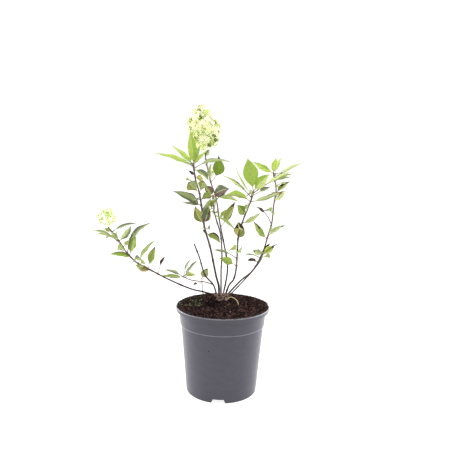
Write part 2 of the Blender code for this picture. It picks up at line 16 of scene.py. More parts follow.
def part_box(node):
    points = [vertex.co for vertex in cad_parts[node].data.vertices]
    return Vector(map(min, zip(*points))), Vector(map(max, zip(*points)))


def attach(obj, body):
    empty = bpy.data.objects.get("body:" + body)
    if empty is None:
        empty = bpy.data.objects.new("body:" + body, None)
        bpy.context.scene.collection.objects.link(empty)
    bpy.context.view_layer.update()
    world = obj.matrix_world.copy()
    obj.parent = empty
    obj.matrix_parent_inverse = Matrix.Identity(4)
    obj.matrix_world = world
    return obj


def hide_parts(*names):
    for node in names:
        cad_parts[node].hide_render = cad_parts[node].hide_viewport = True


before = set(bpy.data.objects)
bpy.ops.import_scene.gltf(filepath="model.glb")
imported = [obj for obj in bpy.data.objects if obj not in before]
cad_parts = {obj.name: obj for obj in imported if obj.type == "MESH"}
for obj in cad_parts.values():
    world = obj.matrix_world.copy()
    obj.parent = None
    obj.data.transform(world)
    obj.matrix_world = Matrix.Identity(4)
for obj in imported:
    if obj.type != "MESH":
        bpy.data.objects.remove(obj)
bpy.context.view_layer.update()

MM = 0.001
GAP = 0.3
SEED = 7

# Camera: roll and downward pitch in radians, height, distance and sideways place in metres, and
# the focal length in pixels of a picture that is 450 wide
ROLL, PITCH = 0.0193, 0.1208
CAMERA_PLACE = (0.0015, -0.850, 0.4078)
FOCAL_PIXELS = 477.6
PICTURE_PIXELS = 450
SENSOR_MM = 36.0

# Studio: half the floor's width in metres, its glow, the sky, and the lights as (name, place,
# target, size, power)
FLOOR = 60.0
FLOOR_GLOW = 0.85
SKY_LIGHT = 1.05
LIGHTS = (
    ("overhead", (0.0, -0.2, 1.9), (0, 0, 0.25), 1.4, 14.0),
    ("rim_right", (1.3, 0.5, 0.4), (0, 0, 0.12), 1.2, 32.0),
    ("rim_left", (-1.3, 0.5, 0.4), (0, 0, 0.12), 1.2, 32.0),
)

# Pot: radii and heights of the turned shell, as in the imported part
POT_SEGMENTS = 160
WALL = 1.6
FOOT_RADIUS = 64.3
WALL_TOP_RADIUS = 75.2
WALL_TOP = 123.7
BAND_BOTTOM_RADIUS = 77.0
BAND_BOTTOM = 125.5
BAND_TOP_RADIUS = 79.0
LIP_BOTTOM = 150.0
LIP_RADIUS = 84.9
POT_HEIGHT = 157.0
FLOOR_UNDERSIDE = 7.5
FLOOR_TOP = 9.3
PAD_RADIUS = 14.0
CORNER_RADIUS = 1.0
# Painted highlight: faces this near the lip's top outer edge and the band's lower edge, in mm, get lighter
# plastic
PAINTED_HIGHLIGHT_REACH = 1.3
POT_SHADES = (0.037, 0.0335, 0.049), (0.045, 0.0405, 0.057)
# The lighter shades of that painted highlight on the lip's top edge and the band's lower edge
PAINTED_HIGHLIGHT_SHADES = (0.120, 0.112, 0.135), (0.180, 0.170, 0.195)
NOTCHES = 4
NOTCH_WIDTH_LOW = 25.0
NOTCH_WIDTH_HIGH = 19.0
NOTCH_HEIGHT = 6.8
FIRST_NOTCH_TURN = 266.0
DRAIN_HOLES = 6
DRAIN_RADIUS = 4.5
DRAIN_CIRCLE = 50.0
CUT_PAST = 3.0

# Soil: its level and its heaps as (x, y, height, spread)
SOIL_LEVEL = 156.6
SOIL_HEAPS = (
    (-2.0, 13.0, 7.0, 30.0),
    (-30.0, 25.0, 10.5, 13.0),
    (66.0, 14.0, 4.5, 20.0),
    (30.0, -30.0, 1.5, 25.0),
    (-12.0, -8.0, -5.0, 14.0),
    (-23.0, 15.0, 4.5, 8.0),
)
SOIL_ROUGHNESS = 1.3
SOIL_EDGE = 77.0
LEDGE_EDGE = 84.2
LEDGE_CRUMB = 0.9
SOIL_SEGMENTS = 96
SOIL_RINGS = 30
CRUMBS = 15000
CRUMB_SIZES = (0.5, 0.6, 0.8, 0.8, 1.0, 1.2, 1.6, 2.3)
CRUMB_SPANS = ((0.5, 1.4), (0.5, 1.2), (0.35, 0.9))
CRUMB_KINDS = {
    # The dark mix lies in random patches and, as painted shade, in the dip in front of the crown
    "dark": ("soil",) * 14 + ("soil_brown",) * 4 + ("soil_red",),
    "warm": ("soil",) * 7 + ("soil_brown",) * 7 + ("soil_red",) * 4 + ("soil_tan",),
    "root": ("soil",) * 3 + ("soil_brown",) * 4 + ("soil_red",) * 6 + ("soil_tan",) * 2,
    "moss": ("soil",) * 3 + ("soil_brown",) * 2 + ("moss",) * 3 + ("moss_pale",),
}
MOSS_CORNER = (-36.0, -12.0)
ROOT_BALL = (-24.0, 17.0, 13.0)
# Dip in front of the crown (x, y, spread) where the dark crumbs gather as painted shade
PAINTED_SHADE_DIP = (-16.0, -6.0, 24.0)
FIBRES = 420
FIBRE_LENGTHS = (3.0, 7.5)
FIBRE_RADII = (0.42, 0.18)
WALL_SPECKS = ((197.0, 74.0), (199.0, 70.5), (221.0, 64.0), (186.0, 43.0), (252.0, 96.0))
STICK = ((-80.0, 3.0, 155.5), (-80.6, 3.2, 162.0), (-80.2, 3.0, 168.5))

CROWN = (-2.0, 13.0, 162.5)
CROWN_RADII = (13.0, 9.0, 8.5)

SPROUT = (
    (8.0, 6.0, 166.5), (14.5, 2.0, 171.5), (21.0, -2.0, 170.5), (26.0, -6.0, 167.0), (29.0, -9.0, 160.5),
)
SPROUT_RADII = (1.0, 0.6)

STEM_STEP = 2.5
STEM_SIDES = 12
SWELL = 0.35
SWELL_REACH = 2.0
STEM_RELIEF = 0.12
TWIG_RELIEF = 0.08
STUB_NODES = (215, 238, 262)
BARE_NODES = (45, 18)
FOOT_RISE = 5.0
LEAF_THICKNESS = 0.35
PETIOLE_RADIUS = 0.8
LEAF_FOLD = 0.18
TOOTH = 0.045
WAVE = 0.1
QUILT = 0.07
VEINS = 7
RIB_END = 0.85
UNDERSIDES = {"bright": "soft", "fresh": "soft", "green": "mist", "dark": "mist", "olive": "mist"}
VIEWER = Vector((0, -1, 0))
ALONG = 40
COLUMNS = (-1, -0.88, -0.62, -0.34, -0.06, 0.06, 0.34, 0.62, 0.88, 1)

# Stems: foot on the rootstock, radius at foot and tip (with the bark a little more than in the
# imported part), and the points that the stem passes
STEMS = {
    "low_left": (
        (-10.0, 3.0), (1.6, 1.15),
        (
            (-37, 20, 176), (-61, 18, 182), (-98, 12, 199), (-132, 6, 218),
            (-157, 0, 233), (-175, -4, 253), (-187, -6, 272), (-201, -8, 291), (-206, -8, 298),
        ),
    ),
    "stub": ((-7.0, -3.5), (1.6, 1.2), ((-18, 0, 195), (-33, -12, 216), (-42, -26, 249), (-51, -36, 275))),
    "tall_left": (
        (-4.0, 1.0), (2.15, 1.15),
        (
            (-8, 0, 194), (-13, -7, 214), (-23, -24, 265), (-31, -33, 294),
            (-35, -37, 312), (-42, -44, 360), (-49, -47, 385), (-53, -48, 410),
        ),
    ),
    "middle_front": (
        (-1.0, -4.5), (1.6, 1.1),
        ((-4, 6, 221), (-3, 2, 250), (-6, -3, 287), (-14, -6, 314), (-19, -8, 334), (-21, -9, 357)),
    ),
    "middle_back": (
        (2.5, 3.5), (1.75, 1.1),
        (
            (7, 23, 208), (7, 31, 231), (0, 41, 265), (-9, 48, 306),
            (-16, 53, 347), (-27, 56, 379), (-34, 57, 407), (-39, 56, 435),
        ),
    ),
    "front_right": (
        (5.0, -4.5), (1.7, 1.15),
        (
            (11, 2, 194), (19, -6, 207), (23, -17, 230), (24, -30, 265),
            (25, -39, 291), (33, -50, 323), (43, -58, 351), (47, -61, 369),
        ),
    ),
    "back_right": (
        (8.5, 2.5), (1.75, 1.15),
        (
            (32, 23, 197), (56, 31, 217), (74, 42, 249), (84, 50, 281),
            (91, 56, 305), (94, 62, 337), (98, 66, 366), (92, 70, 398),
        ),
    ),
    "low_right": ((9.5, -3.0), (1.25, 1.0), ((31, 1, 196), (52, -10, 223), (65, -18, 244), (69, -22, 258))),
}
PALE_STEM = {"low_left": (253, 285)}
FOOT_REACH = 18.0
NODE_REACH = 2.4
LOW_TWIG = ((-18, 0, 195), (-33, 10, 197), (-58, 18, 198), (-74, 24, 202))
LOW_TWIG_RADII = (1.1, 0.9)
SMALL_SHOOT = ((-39, 62), (-41, 60, 183), (-42, 58, 194))
SMALL_SHOOT_RADII = (0.8, 0.7)

# Leaves: the height of the node on its stem, then the tip's place from there, the width, how
# far the blade turns its face to the viewer in degrees, how far it arches, and its look. An
# eighth value is the part of the length that is stalk.
LEAVES = {
    "low_left": (
        (211, (12, 12, 31), 9, 35, 2, "burnt", 0.45), (218, (-28, -8, 12), 14, 50, -2, "tan"),
        (221, (15, -14, 44), 15, 65, 1, "tipped", 0.22), (231, (29, 22, 41), 12, 40, 5, "mist"),
        (242, (-38, -16, 8), 12, 40, 4, "long"), (246, (7, 4, 44), 20, 60, -2, "broad"),
        (250, (42, 18, 55), 13, 50, 13, "dusky", 0.3),
        (266, (-52, -6, 26), 8, 35, 7, "long_mist", 0.44),
        (266, (-49, 8, 18), 6, 30, 6, "long_mist", 0.5), (274, (-11, -10, 17), 11, 50, 0, "soft"),
        (273, (20, 10, 28), 14, 55, -4, "dark_right"), (289, (47, -14, 18), 10, 30, 4, "dusky"),
        (291, (-10, -12, 5), 8, 40, 0, "tipped"),
    ),
    "low_twig": (
        (202, (16, -10, 38), 9, 30, 4, "dusky", 0.25), (202, (27, 12, 33), 10, 30, 1, "dusky", 0.25),
        (201, (8, -12, 26), 6, 30, 1, "dusky"), (202, (-38, 8, 12), 9, 30, 3, "dusky", 0.2),
        (202, (-40, -12, 5), 11, 35, 0, "dusky_pale"),
    ),
    "tall_left": (
        (293, (-6, -6, 8), 5, 45, 0, "black"), (293, (25, -14, -14), 15, 45, 3, "brown_above"),
        (311, (-15, -4, 30), 17, 75, -3, "cup_left"), (311, (8, -10, 33), 17, 75, -3, "cup_right"),
        (315, (13, -16, 41), 14, 50, 2, "mist"), (341, (-49, -12, 26), 18, 45, 2, "smoky"),
        (343, (-35, 12, 3), 8, 40, 0, "smoky"), (363, (-17, -22, 19), 18, 90, 0, "fan"),
        (363, (8, -16, 21), 14, 90, 0, "fan"), (393, (-11, -8, 8), 7, 40, 0, "withered"),
        (402, (25, -10, -18), 13, 45, 5, "dark_left"), (390, (14, 12, -7), 11, 60, 2, "yellow"),
        (404, (62, 15, 12), 13, 30, 8, "dusky_pale", 0.2), (410, (-6, -6, 57), 16, 75, 1, "whorl"),
        (410, (10, 14, 34), 11, 55, 1, "green"), (410, (24, -12, 25), 9, 40, 1, "whorl"),
        (410, (-41, 14, 34), 12, 40, 2, "whorl_long"), (407, (-65, -18, 21), 13, 35, 4, "whorl_long"),
    ),
    "middle_front": (
        (351, (-2, -16, -15), 12, 65, 4, "yellow"), (355, (48, 12, -9), 13, 35, 4, "mist"),
        (357, (29, -26, 14), 22, 70, 3, "mauve_below"), (357, (-14, 10, 18), 17, 60, 1, "mauve_dark"),
        (357, (-19, -14, -6), 15, 60, 3, "brown_above"),
    ),
    "middle_back": (
        (295, (26, -16, 50), 17, 55, -2, "dark_below", 0.2), (310, (22, 14, 19), 12, 40, 2, "green"),
        (381, (1, -12, 33), 15, 65, 1, "cream"), (379, (14, -10, 50), 23, 90, -9, "dark_tipped", 0.3),
        (428, (8, -8, 11), 10, 60, 0, "dark_left"),
    ),
    "front_right": (
        (234, (-31, -8, 15), 15, 60, 2, "oval", 0.25), (248, (-47, 4, 14), 8, 25, 5, "dusky", 0.3),
        (285, (0, -12, 31), 17, 80, 0, "capped"), (286, (11, 10, 16), 13, 65, 0, "edged"),
        (293, (-47, 6, 34), 9, 30, 5, "mist", 0.2), (314, (31, -16, 21), 12, 35, -3, "pale"),
        (327, (-13, -12, 19), 16, 65, 1, "striped"), (351, (-45, -16, 9), 16, 40, 8, "bright_above"),
        (351, (55, -16, 21), 13, 30, -2, "mauve_tipped"),
        (358, (-54, 12, 38), 11, 30, 4, "double", 0.2), (361, (32, 14, 15), 11, 40, 1, "smoky", 0.45),
        (363, (-28, 14, 45), 8, 25, -4, "mist"), (365, (61, -20, 39), 12, 22, 2, "double", 0.35),
        (369, (-11, -8, 53), 26, 90, 1, "upright"), (369, (25, -14, 29), 20, 60, 1, "pale_bright"),
    ),
    "back_right": (
        (274, (-28, -14, 36), 14, 55, -3, "black_above"),
        (278, (33, -12, 24), 12, 35, 3, "pale_tipped"), (300, (-31, 14, 33), 8, 50, 6, "hooked", 0.55),
        (345, (19, -10, 21), 12, 45, -2, "pale_mauve"), (360, (28, 12, 23), 12, 45, 1, "black_left"),
        (383, (35, 14, 9), 9, 25, 1, "mist"), (385, (33, -14, 12), 11, 30, 2, "mist"),
        (389, (57, 12, 31), 12, 30, 2, "soft", 0.2), (398, (-41, -14, 21), 14, 55, -1, "whorl"),
        (398, (5, 8, 30), 13, 65, 0, "whorl"), (398, (14, -10, 29), 11, 50, 1, "whorl"),
    ),
    "low_right": (
        (242, (-22, 10, 1), 11, 60, 0, "withered", 0.25), (248, (-33, -8, 8), 5, 25, 4, "dusky", 0.3),
        (256, (-17, 10, 6), 13, 55, 0, "soft_tipped"),
        (258, (19, -10, 16), 14, 60, -1, "bright_tipped"), (258, (13, 8, 18), 8, 45, 0, "withered"),
        (258, (27, -14, 21), 6, 25, 1, "burnt"),
    ),
    "small_shoot": (
        (191, (11, -6, 23), 16, 90, 0, "olive_tipped", 0.15),
        (182, (-17, -8, -3), 7, 50, 3, "burnt", 0.55),
    ),
}

# The pairs that point away from the viewer and towards them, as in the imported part
DEPTH_NODES = {
    "low_left": (227, 236, 260, 280),
    "low_twig": (199,),
    "tall_left": (300, 327, 352, 376, 408),
    "middle_front": (335, 347),
    "middle_back": (320, 352, 392, 415),
    "front_right": (262, 304, 336, 362),
    "back_right": (290, 322, 352, 372, 394),
    "low_right": (250,),
}
DEPTH_LENGTH = (32.0, 52.0)
DEPTH_RISE = (0.0, 14.0)
DEPTH_SWING = 22.0
DEPTH_STEP = 2.0
DEPTH_SLENDER = 0.34
DEPTH_FACE = 12.0
DEPTH_ARCH = 4.0
DEPTH_STALK = 0.16
DEPTH_LOOKS = ("dusky", "mist", "dark_left", "olive", "smoky", "tipped", "dusky_pale")

# How a leaf looks unless its look says otherwise: the colours of its edges, where the edges start
# as a share of the half width, and from which part of the length on, the tip's colour and share
# of the length, where the blade is widest (a power: the lower, the nearer the stalk), how drawn
# out its tip is, how far its edges curl up, how shrivelled it is and the skin of its stalk. A
# look starts with the colours of its left half, right half and rib, seen with the tip up.
PLAIN_LOOK = {
    "left_edge": None, "right_edge": None, "edge": 0.9, "edge_from": 0.0, "tip": (None, 0.0),
    "widest": 0.8, "drawn": 0.35, "curl": 0.0, "wither": 0.0, "stalk": "petiole",
}


def look(left="green", right="green", rib=None, **more):
    return {**PLAIN_LOOK, "left": left, "right": right, "rib": rib, **more}


LOOKS = {
    "whorl": look("bright", "fresh", "pale", widest=0.72),
    "whorl_long": look("fresh", "bright", "mist", widest=0.58, drawn=0.6),
    "upright": look("fresh", "fresh", "mist", widest=1.02, drawn=0.2),
    "pale_bright": look("fresh", "pale", "pale"),
    "bright_above": look("olive", "fresh", "mist", tip=("mist", 0.1)),
    "bright_tipped": look("bright", "pale", tip=("black", 0.22)),
    "broad": look("green", "fresh", "soft", right_edge="smoke", widest=0.9),
    "long": look(
        "fresh", "green", right_edge="smoke", edge=0.7, tip=("smoke", 0.1), widest=0.65, drawn=0.6,
    ),
    "long_mist": look("soft", "mist", right_edge="smoke", drawn=0.6, stalk="bark_young"),
    "green": look(rib="mist", tip=("brown", 0.05)),
    "oval": look("green", "fresh", "mist", tip=("brown", 0.16), drawn=0.7),
    "edged": look("fresh", "olive", "mist", left_edge="brown", right_edge="smoke", edge=0.85),
    "olive": look("olive", rib="mist", left_edge="brown", tip=("brown", 0.06)),
    "tipped": look("olive", "green", "dark", tip=("black", 0.14)),
    "olive_tipped": look("pale", "soft", tip=("black", 0.16), drawn=0.0),
    "yellow": look("yellow", "olive", left_edge="brown", edge=0.85),
    "tan": look("tan", "yellow", "brown", right_edge="smoke", tip=("brown", 0.05)),
    "mist": look("mist", "green", left_edge="smoke", edge=0.93),
    "soft": look("soft", "mist", "pale"),
    "soft_tipped": look("soft", "mist", tip=("smoke", 0.3), drawn=0.6),
    "dusky": look(
        "smoke", "mist", left_edge="brown", right_edge="smoke", tip=("brown", 0.12),
        stalk="bark_young",
    ),
    "dusky_pale": look("mist", "green", left_edge="brown", edge=0.8, tip=("smoke", 0.08)),
    "smoky": look(
        "smoke", "mist", "green", left_edge="black", right_edge="brown", edge=0.8, tip=("black", 0.14),
        curl=0.25, widest=0.66, drawn=0.6,
    ),
    "double": look("pale", "mist", left_edge="smoke", right_edge="brown", edge=0.8, stalk="bark_young"),
    "pale": look("soft", "pale", "mist", left_edge="tan"),
    "pale_mauve": look("pale", "soft", left_edge="mauve", edge=0.7, edge_from=0.3),
    "pale_tipped": look("mist", "soft", tip=("smoke", 0.25), drawn=0.6),
    "cream": look("mist", "cream", "cream"),
    "striped": look("green", "dark", "pale", right_edge="smoke"),
    "dark_left": look("smoke", "green", left_edge="brown", edge=0.8),
    "dark_right": look("soft", "smoke", "mist", right_edge="brown", edge=0.8),
    "fan": look("olive", "mist", "pale", tip=("brown", 0.08), widest=1.9, drawn=-0.5),
    "cup_left": look(
        "olive", "yellow", "cream", left_edge="brown", edge=0.88, tip=("brown", 0.12), curl=0.4,
    ),
    "cup_right": look(
        "smoke", "mauve", "cream", right_edge="olive", edge=0.75, tip=("brown", 0.1), curl=0.4,
    ),
    "brown_above": look("olive", left_edge="brown", edge=0.55, tip=("brown", 0.1), curl=0.2),
    "black_above": look(right_edge="black", edge=0.5, edge_from=0.5, tip=("black", 0.14)),
    "black_left": look(
        "olive", "soft", left_edge="black", edge=0.35, edge_from=0.35, tip=("black", 0.1), curl=0.2,
    ),
    "dark_below": look("olive", right_edge="brown", edge=0.5, tip=("brown", 0.24), curl=0.2),
    "dark_tipped": look(
        "dark", "dark", "green", left_edge="smoke", right_edge="smoke", tip=("black", 0.13),
        widest=0.85, drawn=0.6,
    ),
    "mauve_below": look(
        "smoke", "mauve", "soft", left_edge="mist", right_edge="brown", edge=0.8, tip=("mauve", 0.1),
    ),
    "mauve_dark": look("olive", "mauve", left_edge="brown", edge=0.7, tip=("brown", 0.1)),
    "mauve_tipped": look(
        "soft", "mist", right_edge="smoke", edge=0.7, left_edge="mauve", edge_from=0.4,
        tip=("mauve", 0.22),
    ),
    "capped": look(
        "yellow", "olive", left_edge="brown", right_edge="brown", edge=0.85, tip=("brown", 0.42),
        widest=1.25, drawn=-0.3, curl=0.4,
    ),
    "burnt": look("brown", "mauve", tip=("black", 0.3), wither=0.6),
    "hooked": look("brown", "mauve", tip=("black", 0.3), wither=1.0, stalk="bark_young"),
    "withered": look("brown", "mauve", tip=("black", 0.4), wither=1.0, stalk="bark_young"),
    "black": look("black", "brown", tip=("black", 0.3), wither=0.5, stalk="bark_young"),
}

# Leaf colours, linear
LEAF_COLOURS = {
    "bright": (0.40, 0.50, 0.085),
    "fresh": (0.295, 0.430, 0.060),
    "green": (0.225, 0.305, 0.060),
    "dark": (0.165, 0.265, 0.024),
    "olive": (0.255, 0.280, 0.068),
    "yellow": (0.42, 0.41, 0.090),
    "pale": (0.52, 0.59, 0.22),
    "soft": (0.46, 0.52, 0.25),
    "mist": (0.300, 0.350, 0.155),
    "cream": (0.70, 0.72, 0.48),
    "smoke": (0.125, 0.145, 0.090),
    "tan": (0.34, 0.29, 0.10),
    "brown": (0.050, 0.030, 0.019),
    "black": (0.011, 0.008, 0.007),
    "mauve": (0.150, 0.095, 0.072),
}
SHADE_SPREAD = 0.13

# Dark and light shade of each soil, with the scale of its grain, and of each bark
SOIL_SHADES = {
    "soil": ((0.006, 0.004, 0.005), (0.022, 0.014, 0.014), 240.0),
    "soil_brown": ((0.018, 0.009, 0.008), (0.046, 0.026, 0.021), 300.0),
    "soil_red": ((0.050, 0.024, 0.022), (0.120, 0.062, 0.055), 300.0),
    "soil_tan": ((0.090, 0.052, 0.042), (0.190, 0.125, 0.100), 300.0),
    "moss": ((0.040, 0.038, 0.020), (0.095, 0.092, 0.048), 300.0),
    "moss_pale": ((0.110, 0.105, 0.070), (0.230, 0.220, 0.150), 300.0),
}
BARK_SHADES = {
    "bark_low": ((0.020, 0.012, 0.012), (0.095, 0.058, 0.048)),
    "bark_young": ((0.038, 0.023, 0.018), (0.150, 0.092, 0.064)),
    "bark_node": ((0.055, 0.033, 0.025), (0.200, 0.125, 0.085)),
    "bark_foot": ((0.120, 0.070, 0.055), (0.400, 0.280, 0.220)),
    "petiole": ((0.290, 0.190, 0.115), (0.380, 0.350, 0.160)),
    "sprout": ((0.420, 0.360, 0.140), (0.620, 0.580, 0.300)),
}

# Flower heads: stem, foot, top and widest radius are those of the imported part. Here they have
# branches with a cluster of flowers each, spread so far, of which a share is open above a part
# of the height. Kinds are weights of cream, lime and green florets.
TOP_BLOSSOM = {
    "stem": "middle_back", "foot": (-39, 56, 442), "top": (-47, 52, 522), "radius": 33.0,
    "branches": 72, "cluster": 7, "spread": 6.0, "open": 0.66, "open_from": 0.0, "petal": 6.4,
    "kinds": (6, 4, 1), "buds_dark": 1,
    "bracts": ((-21, 35, 464), (-19, 37, 457), (-30, 30, 447)), "bract": 4.6,
}
LEFT_BLOSSOM = {
    "stem": "low_left", "foot": (-206, -8, 300), "top": (-211, -9, 333), "radius": 20.5,
    "branches": 19, "cluster": 7, "spread": 4.5, "open": 0.5, "open_from": 0.25, "petal": 4.6,
    "kinds": (3, 5, 3), "buds_dark": 7,
    "bracts": (), "bract": 0.0,
}
BRANCH_RADII = (0.6, 0.4)
FLOWER_STALK_RADII = (0.32, 0.22)
PETAL_CELLS = 4
PETAL_THICKNESS = 0.18
EYE_RADIUS = 0.55
BUD_RADII = (0.6, 1.1)
AXIS_RADII = (0.9, 0.5)
WIDEST = 0.46
BLUNTNESS = 2.4
LOOK_UP = 1.5
GOLDEN_TURN = math.radians(137.5)

BLOSSOM_COLOURS = {
    "cream": (0.93, 0.95, 0.66),
    "lime": (0.84, 0.91, 0.45),
    "green": (0.55, 0.68, 0.20),
    "bud": (0.150, 0.170, 0.050),
    "bract": (0.150, 0.175, 0.065),
    "stalk": (0.80, 0.88, 0.48),
}


def new_material(name, colour, roughness=0.5, specular=0.5):
    made = bpy.data.materials.new(name)
    made.use_nodes = True
    surface = made.node_tree.nodes["Principled BSDF"]
    surface.inputs["Base Color"].default_value = (*colour, 1.0)
    surface.inputs["Roughness"].default_value = roughness
    surface.inputs["Specular IOR Level"].default_value = specular
    return made


def add_node(made, kind, place, **values):
    """A node of this kind with its inputs set, beside the shader."""
    node = made.node_tree.nodes.new(kind)
    node.location = place
    for key, value in values.items():
        node.inputs[key.replace("_", " ")].default_value = value
    return node


def add_bump(made, scale, strength, distance, detail=4.0):
    """A noise in object space that raises and lowers the surface."""
    links = made.node_tree.links
    where = add_node(made, "ShaderNodeTexCoord", (-900, -200))
    grain = add_node(made, "ShaderNodeTexNoise", (-650, -200), Scale=scale, Detail=detail)
    bump = add_node(made, "ShaderNodeBump", (-250, -200), Strength=strength, Distance=distance)
    links.new(where.outputs["Object"], grain.inputs["Vector"])
    links.new(grain.outputs["Fac"], bump.inputs["Height"])
    links.new(bump.outputs["Normal"], made.node_tree.nodes["Principled BSDF"].inputs["Normal"])
    return grain


def add_mottle(made, colours, scale, detail=5.0, places=(0.35, 0.65), stretch=(1, 1, 1)):
    """A noise in object space that mixes the base colour between the given ones."""
    links = made.node_tree.links
    where = add_node(made, "ShaderNodeTexCoord", (-1100, 250))
    stretched = add_node(made, "ShaderNodeMapping", (-900, 250), Scale=stretch)
    grain = add_node(made, "ShaderNodeTexNoise", (-700, 250), Scale=scale, Detail=detail)
    ramp = add_node(made, "ShaderNodeValToRGB", (-450, 250))
    stops = ramp.color_ramp.elements
    while len(stops) < len(colours):
        stops.new(0.5)
    for i, (stop, colour) in enumerate(zip(stops, colours)):
        stop.position = places[0] + (places[1] - places[0]) * i / (len(colours) - 1)
        stop.color = (*colour, 1.0)
    links.new(where.outputs["Object"], stretched.inputs["Vector"])
    links.new(stretched.outputs["Vector"], grain.inputs["Vector"])
    links.new(grain.outputs["Fac"], ramp.inputs["Fac"])
    links.new(ramp.outputs["Color"], made.node_tree.nodes["Principled BSDF"].inputs["Base Color"])


def pot_material(name, dark, light):
    made = new_material(name, dark, 0.29, 0.5)
    add_mottle(made, (dark, light), 60.0, 8.0, (0.3, 0.7), (1, 1, 2))
    add_bump(made, 420.0, 0.12, 0.0004, 3.0)
    return made


def soil_material(name, dark, light, scale):
    made = new_material(name, dark, 1.0, 0.05)
    add_mottle(made, (dark, light), scale, 6.0)
    add_bump(made, 900.0, 0.6, 0.0006, 6.0)
    return made


def bark_material(name, dark, light):
    """Young bark with dark and pale streaks along the stem."""
    made = new_material(name, dark, 0.6, 0.35)
    add_mottle(made, (dark, light), 260.0, 6.0, (0.38, 0.7), (1, 1, 0.25))
    add_bump(made, 700.0, 0.5, 0.0004, 5.0)
    return made


def leaf_material(name, colour):
    made = new_material("leaf_" + name, colour, 0.55, 0.2)
    shades = [[part * share for part in colour] for share in (1 - SHADE_SPREAD, 1 + SHADE_SPREAD)]
    add_mottle(made, shades, 190.0, 4.0, (0.3, 0.7))
    add_bump(made, 650.0, 0.3, 0.0005, 3.0)
    return made


def petal_material(name, colour):
    made = new_material("blossom_" + name, colour, 0.7, 0.1)
    add_bump(made, 900.0, 0.15, 0.0003, 2.0)
    return made


class Builder:
    """Gathers shapes into one mesh with several materials, in millimetres."""

    def __init__(self, name, materials):
        self.name = name
        self.materials = materials
        self.points = []
        self.faces = []
        self.kinds = []

    def add(self, points, faces, kinds):
        """Adds a shape. kinds is one material name, or one for each face."""
        start = len(self.points)
        self.points += points
        self.faces += [tuple(start + i for i in face) for face in faces]
        self.kinds += [kinds] * len(faces) if isinstance(kinds, str) else kinds

    def finish(self, nodes, sharp=None):
        """Makes the object, lets it ride on the part and stand for its nodes."""
        mesh = bpy.data.meshes.new(self.name)
        mesh.from_pydata([Vector(p) * MM for p in self.points], [], self.faces)
        names = sorted(set(self.kinds))
        for kind in names:
            mesh.materials.append(self.materials[kind])
        index = {kind: i for i, kind in enumerate(names)}
        mesh.polygons.foreach_set("material_index", [index[kind] for kind in self.kinds])
        mesh.shade_smooth()
        if sharp is not None:
            mesh.set_sharp_from_angle(angle=math.radians(sharp))
        mesh.validate()
        obj = bpy.data.objects.new(self.name, mesh)
        bpy.context.scene.collection.objects.link(obj)
        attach(obj, "root")
        if nodes:
            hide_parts(*nodes)
        return obj


def ring(radius, height, segments):
    turns = [2 * math.pi * i / segments for i in range(segments)]
    return [Vector((radius * math.cos(t), radius * math.sin(t), height)) for t in turns]


def loft_faces(rings, sides, closed=True):
    """Faces between rings of equal count, with a cap at either end, facing out."""
    faces = []
    for low in range(0, (rings - 1) * sides, sides):
        for i in range(sides):
            j = (i + 1) % sides
            faces.append((low + i, low + j, low + sides + j, low + sides + i))
    if closed:
        faces.append(tuple(reversed(range(sides))))
        faces.append(tuple(range((rings - 1) * sides, rings * sides)))
    return faces


def object_from(name, points, faces):
    """A bare object for a Boolean step, from points in millimetres."""
    mesh = bpy.data.meshes.new(name)
    mesh.from_pydata([Vector(p) * MM for p in points], [], faces)
    bm = bmesh.new()
    bm.from_mesh(mesh)
    bmesh.ops.recalc_face_normals(bm, faces=bm.faces)
    bm.to_mesh(mesh)
    bm.free()
    obj = bpy.data.objects.new(name, mesh)
    bpy.context.scene.collection.objects.link(obj)
    return obj


def cut(obj, cutters):
    """Cuts the cutters from the object, applies it and removes them."""
    group = bpy.data.collections.new(obj.name + "_cutters")
    bpy.context.scene.collection.children.link(group)
    for cutter in cutters:
        bpy.context.scene.collection.objects.unlink(cutter)
        group.objects.link(cutter)
    step = obj.modifiers.new("cut", "BOOLEAN")
    step.operation = "DIFFERENCE"
    step.operand_type = "COLLECTION"
    step.collection = group
    step.solver = "EXACT"
    graph = bpy.context.evaluated_depsgraph_get()
    mesh = bpy.data.meshes.new_from_object(obj.evaluated_get(graph))
    obj.modifiers.clear()
    obj.data = mesh
    for cutter in cutters:
        bpy.data.objects.remove(cutter)
    bpy.data.collections.remove(group)


def wall_radius(height):
    return FOOT_RADIUS + (WALL_TOP_RADIUS - FOOT_RADIUS) * height / WALL_TOP


def rounded(corners, radius, steps=4, hold=0.3):
    """The profile with each corner rounded, and a point close by on the straight to hold its shading."""
    pts = [Vector(c) for c in corners]
    out = [pts[0]]
    for before, here, after in zip(pts, pts[1:], pts[2:]):
        back, ahead = before - here, after - here
        reach = min(radius, back.length * 0.4, ahead.length * 0.4)
        start, end = here + back.normalized() * reach, here + ahead.normalized() * reach
        if back.length > 4 * hold:
            out.append(start + back.normalized() * hold)
        for i in range(steps + 1):
            t = i / steps
            out.append(start * (1 - t) ** 2 + here * (2 * t * (1 - t)) + end * t**2)
        if ahead.length > 4 * hold:
            out.append(end + ahead.normalized() * hold)
    return [*out, pts[-1]]


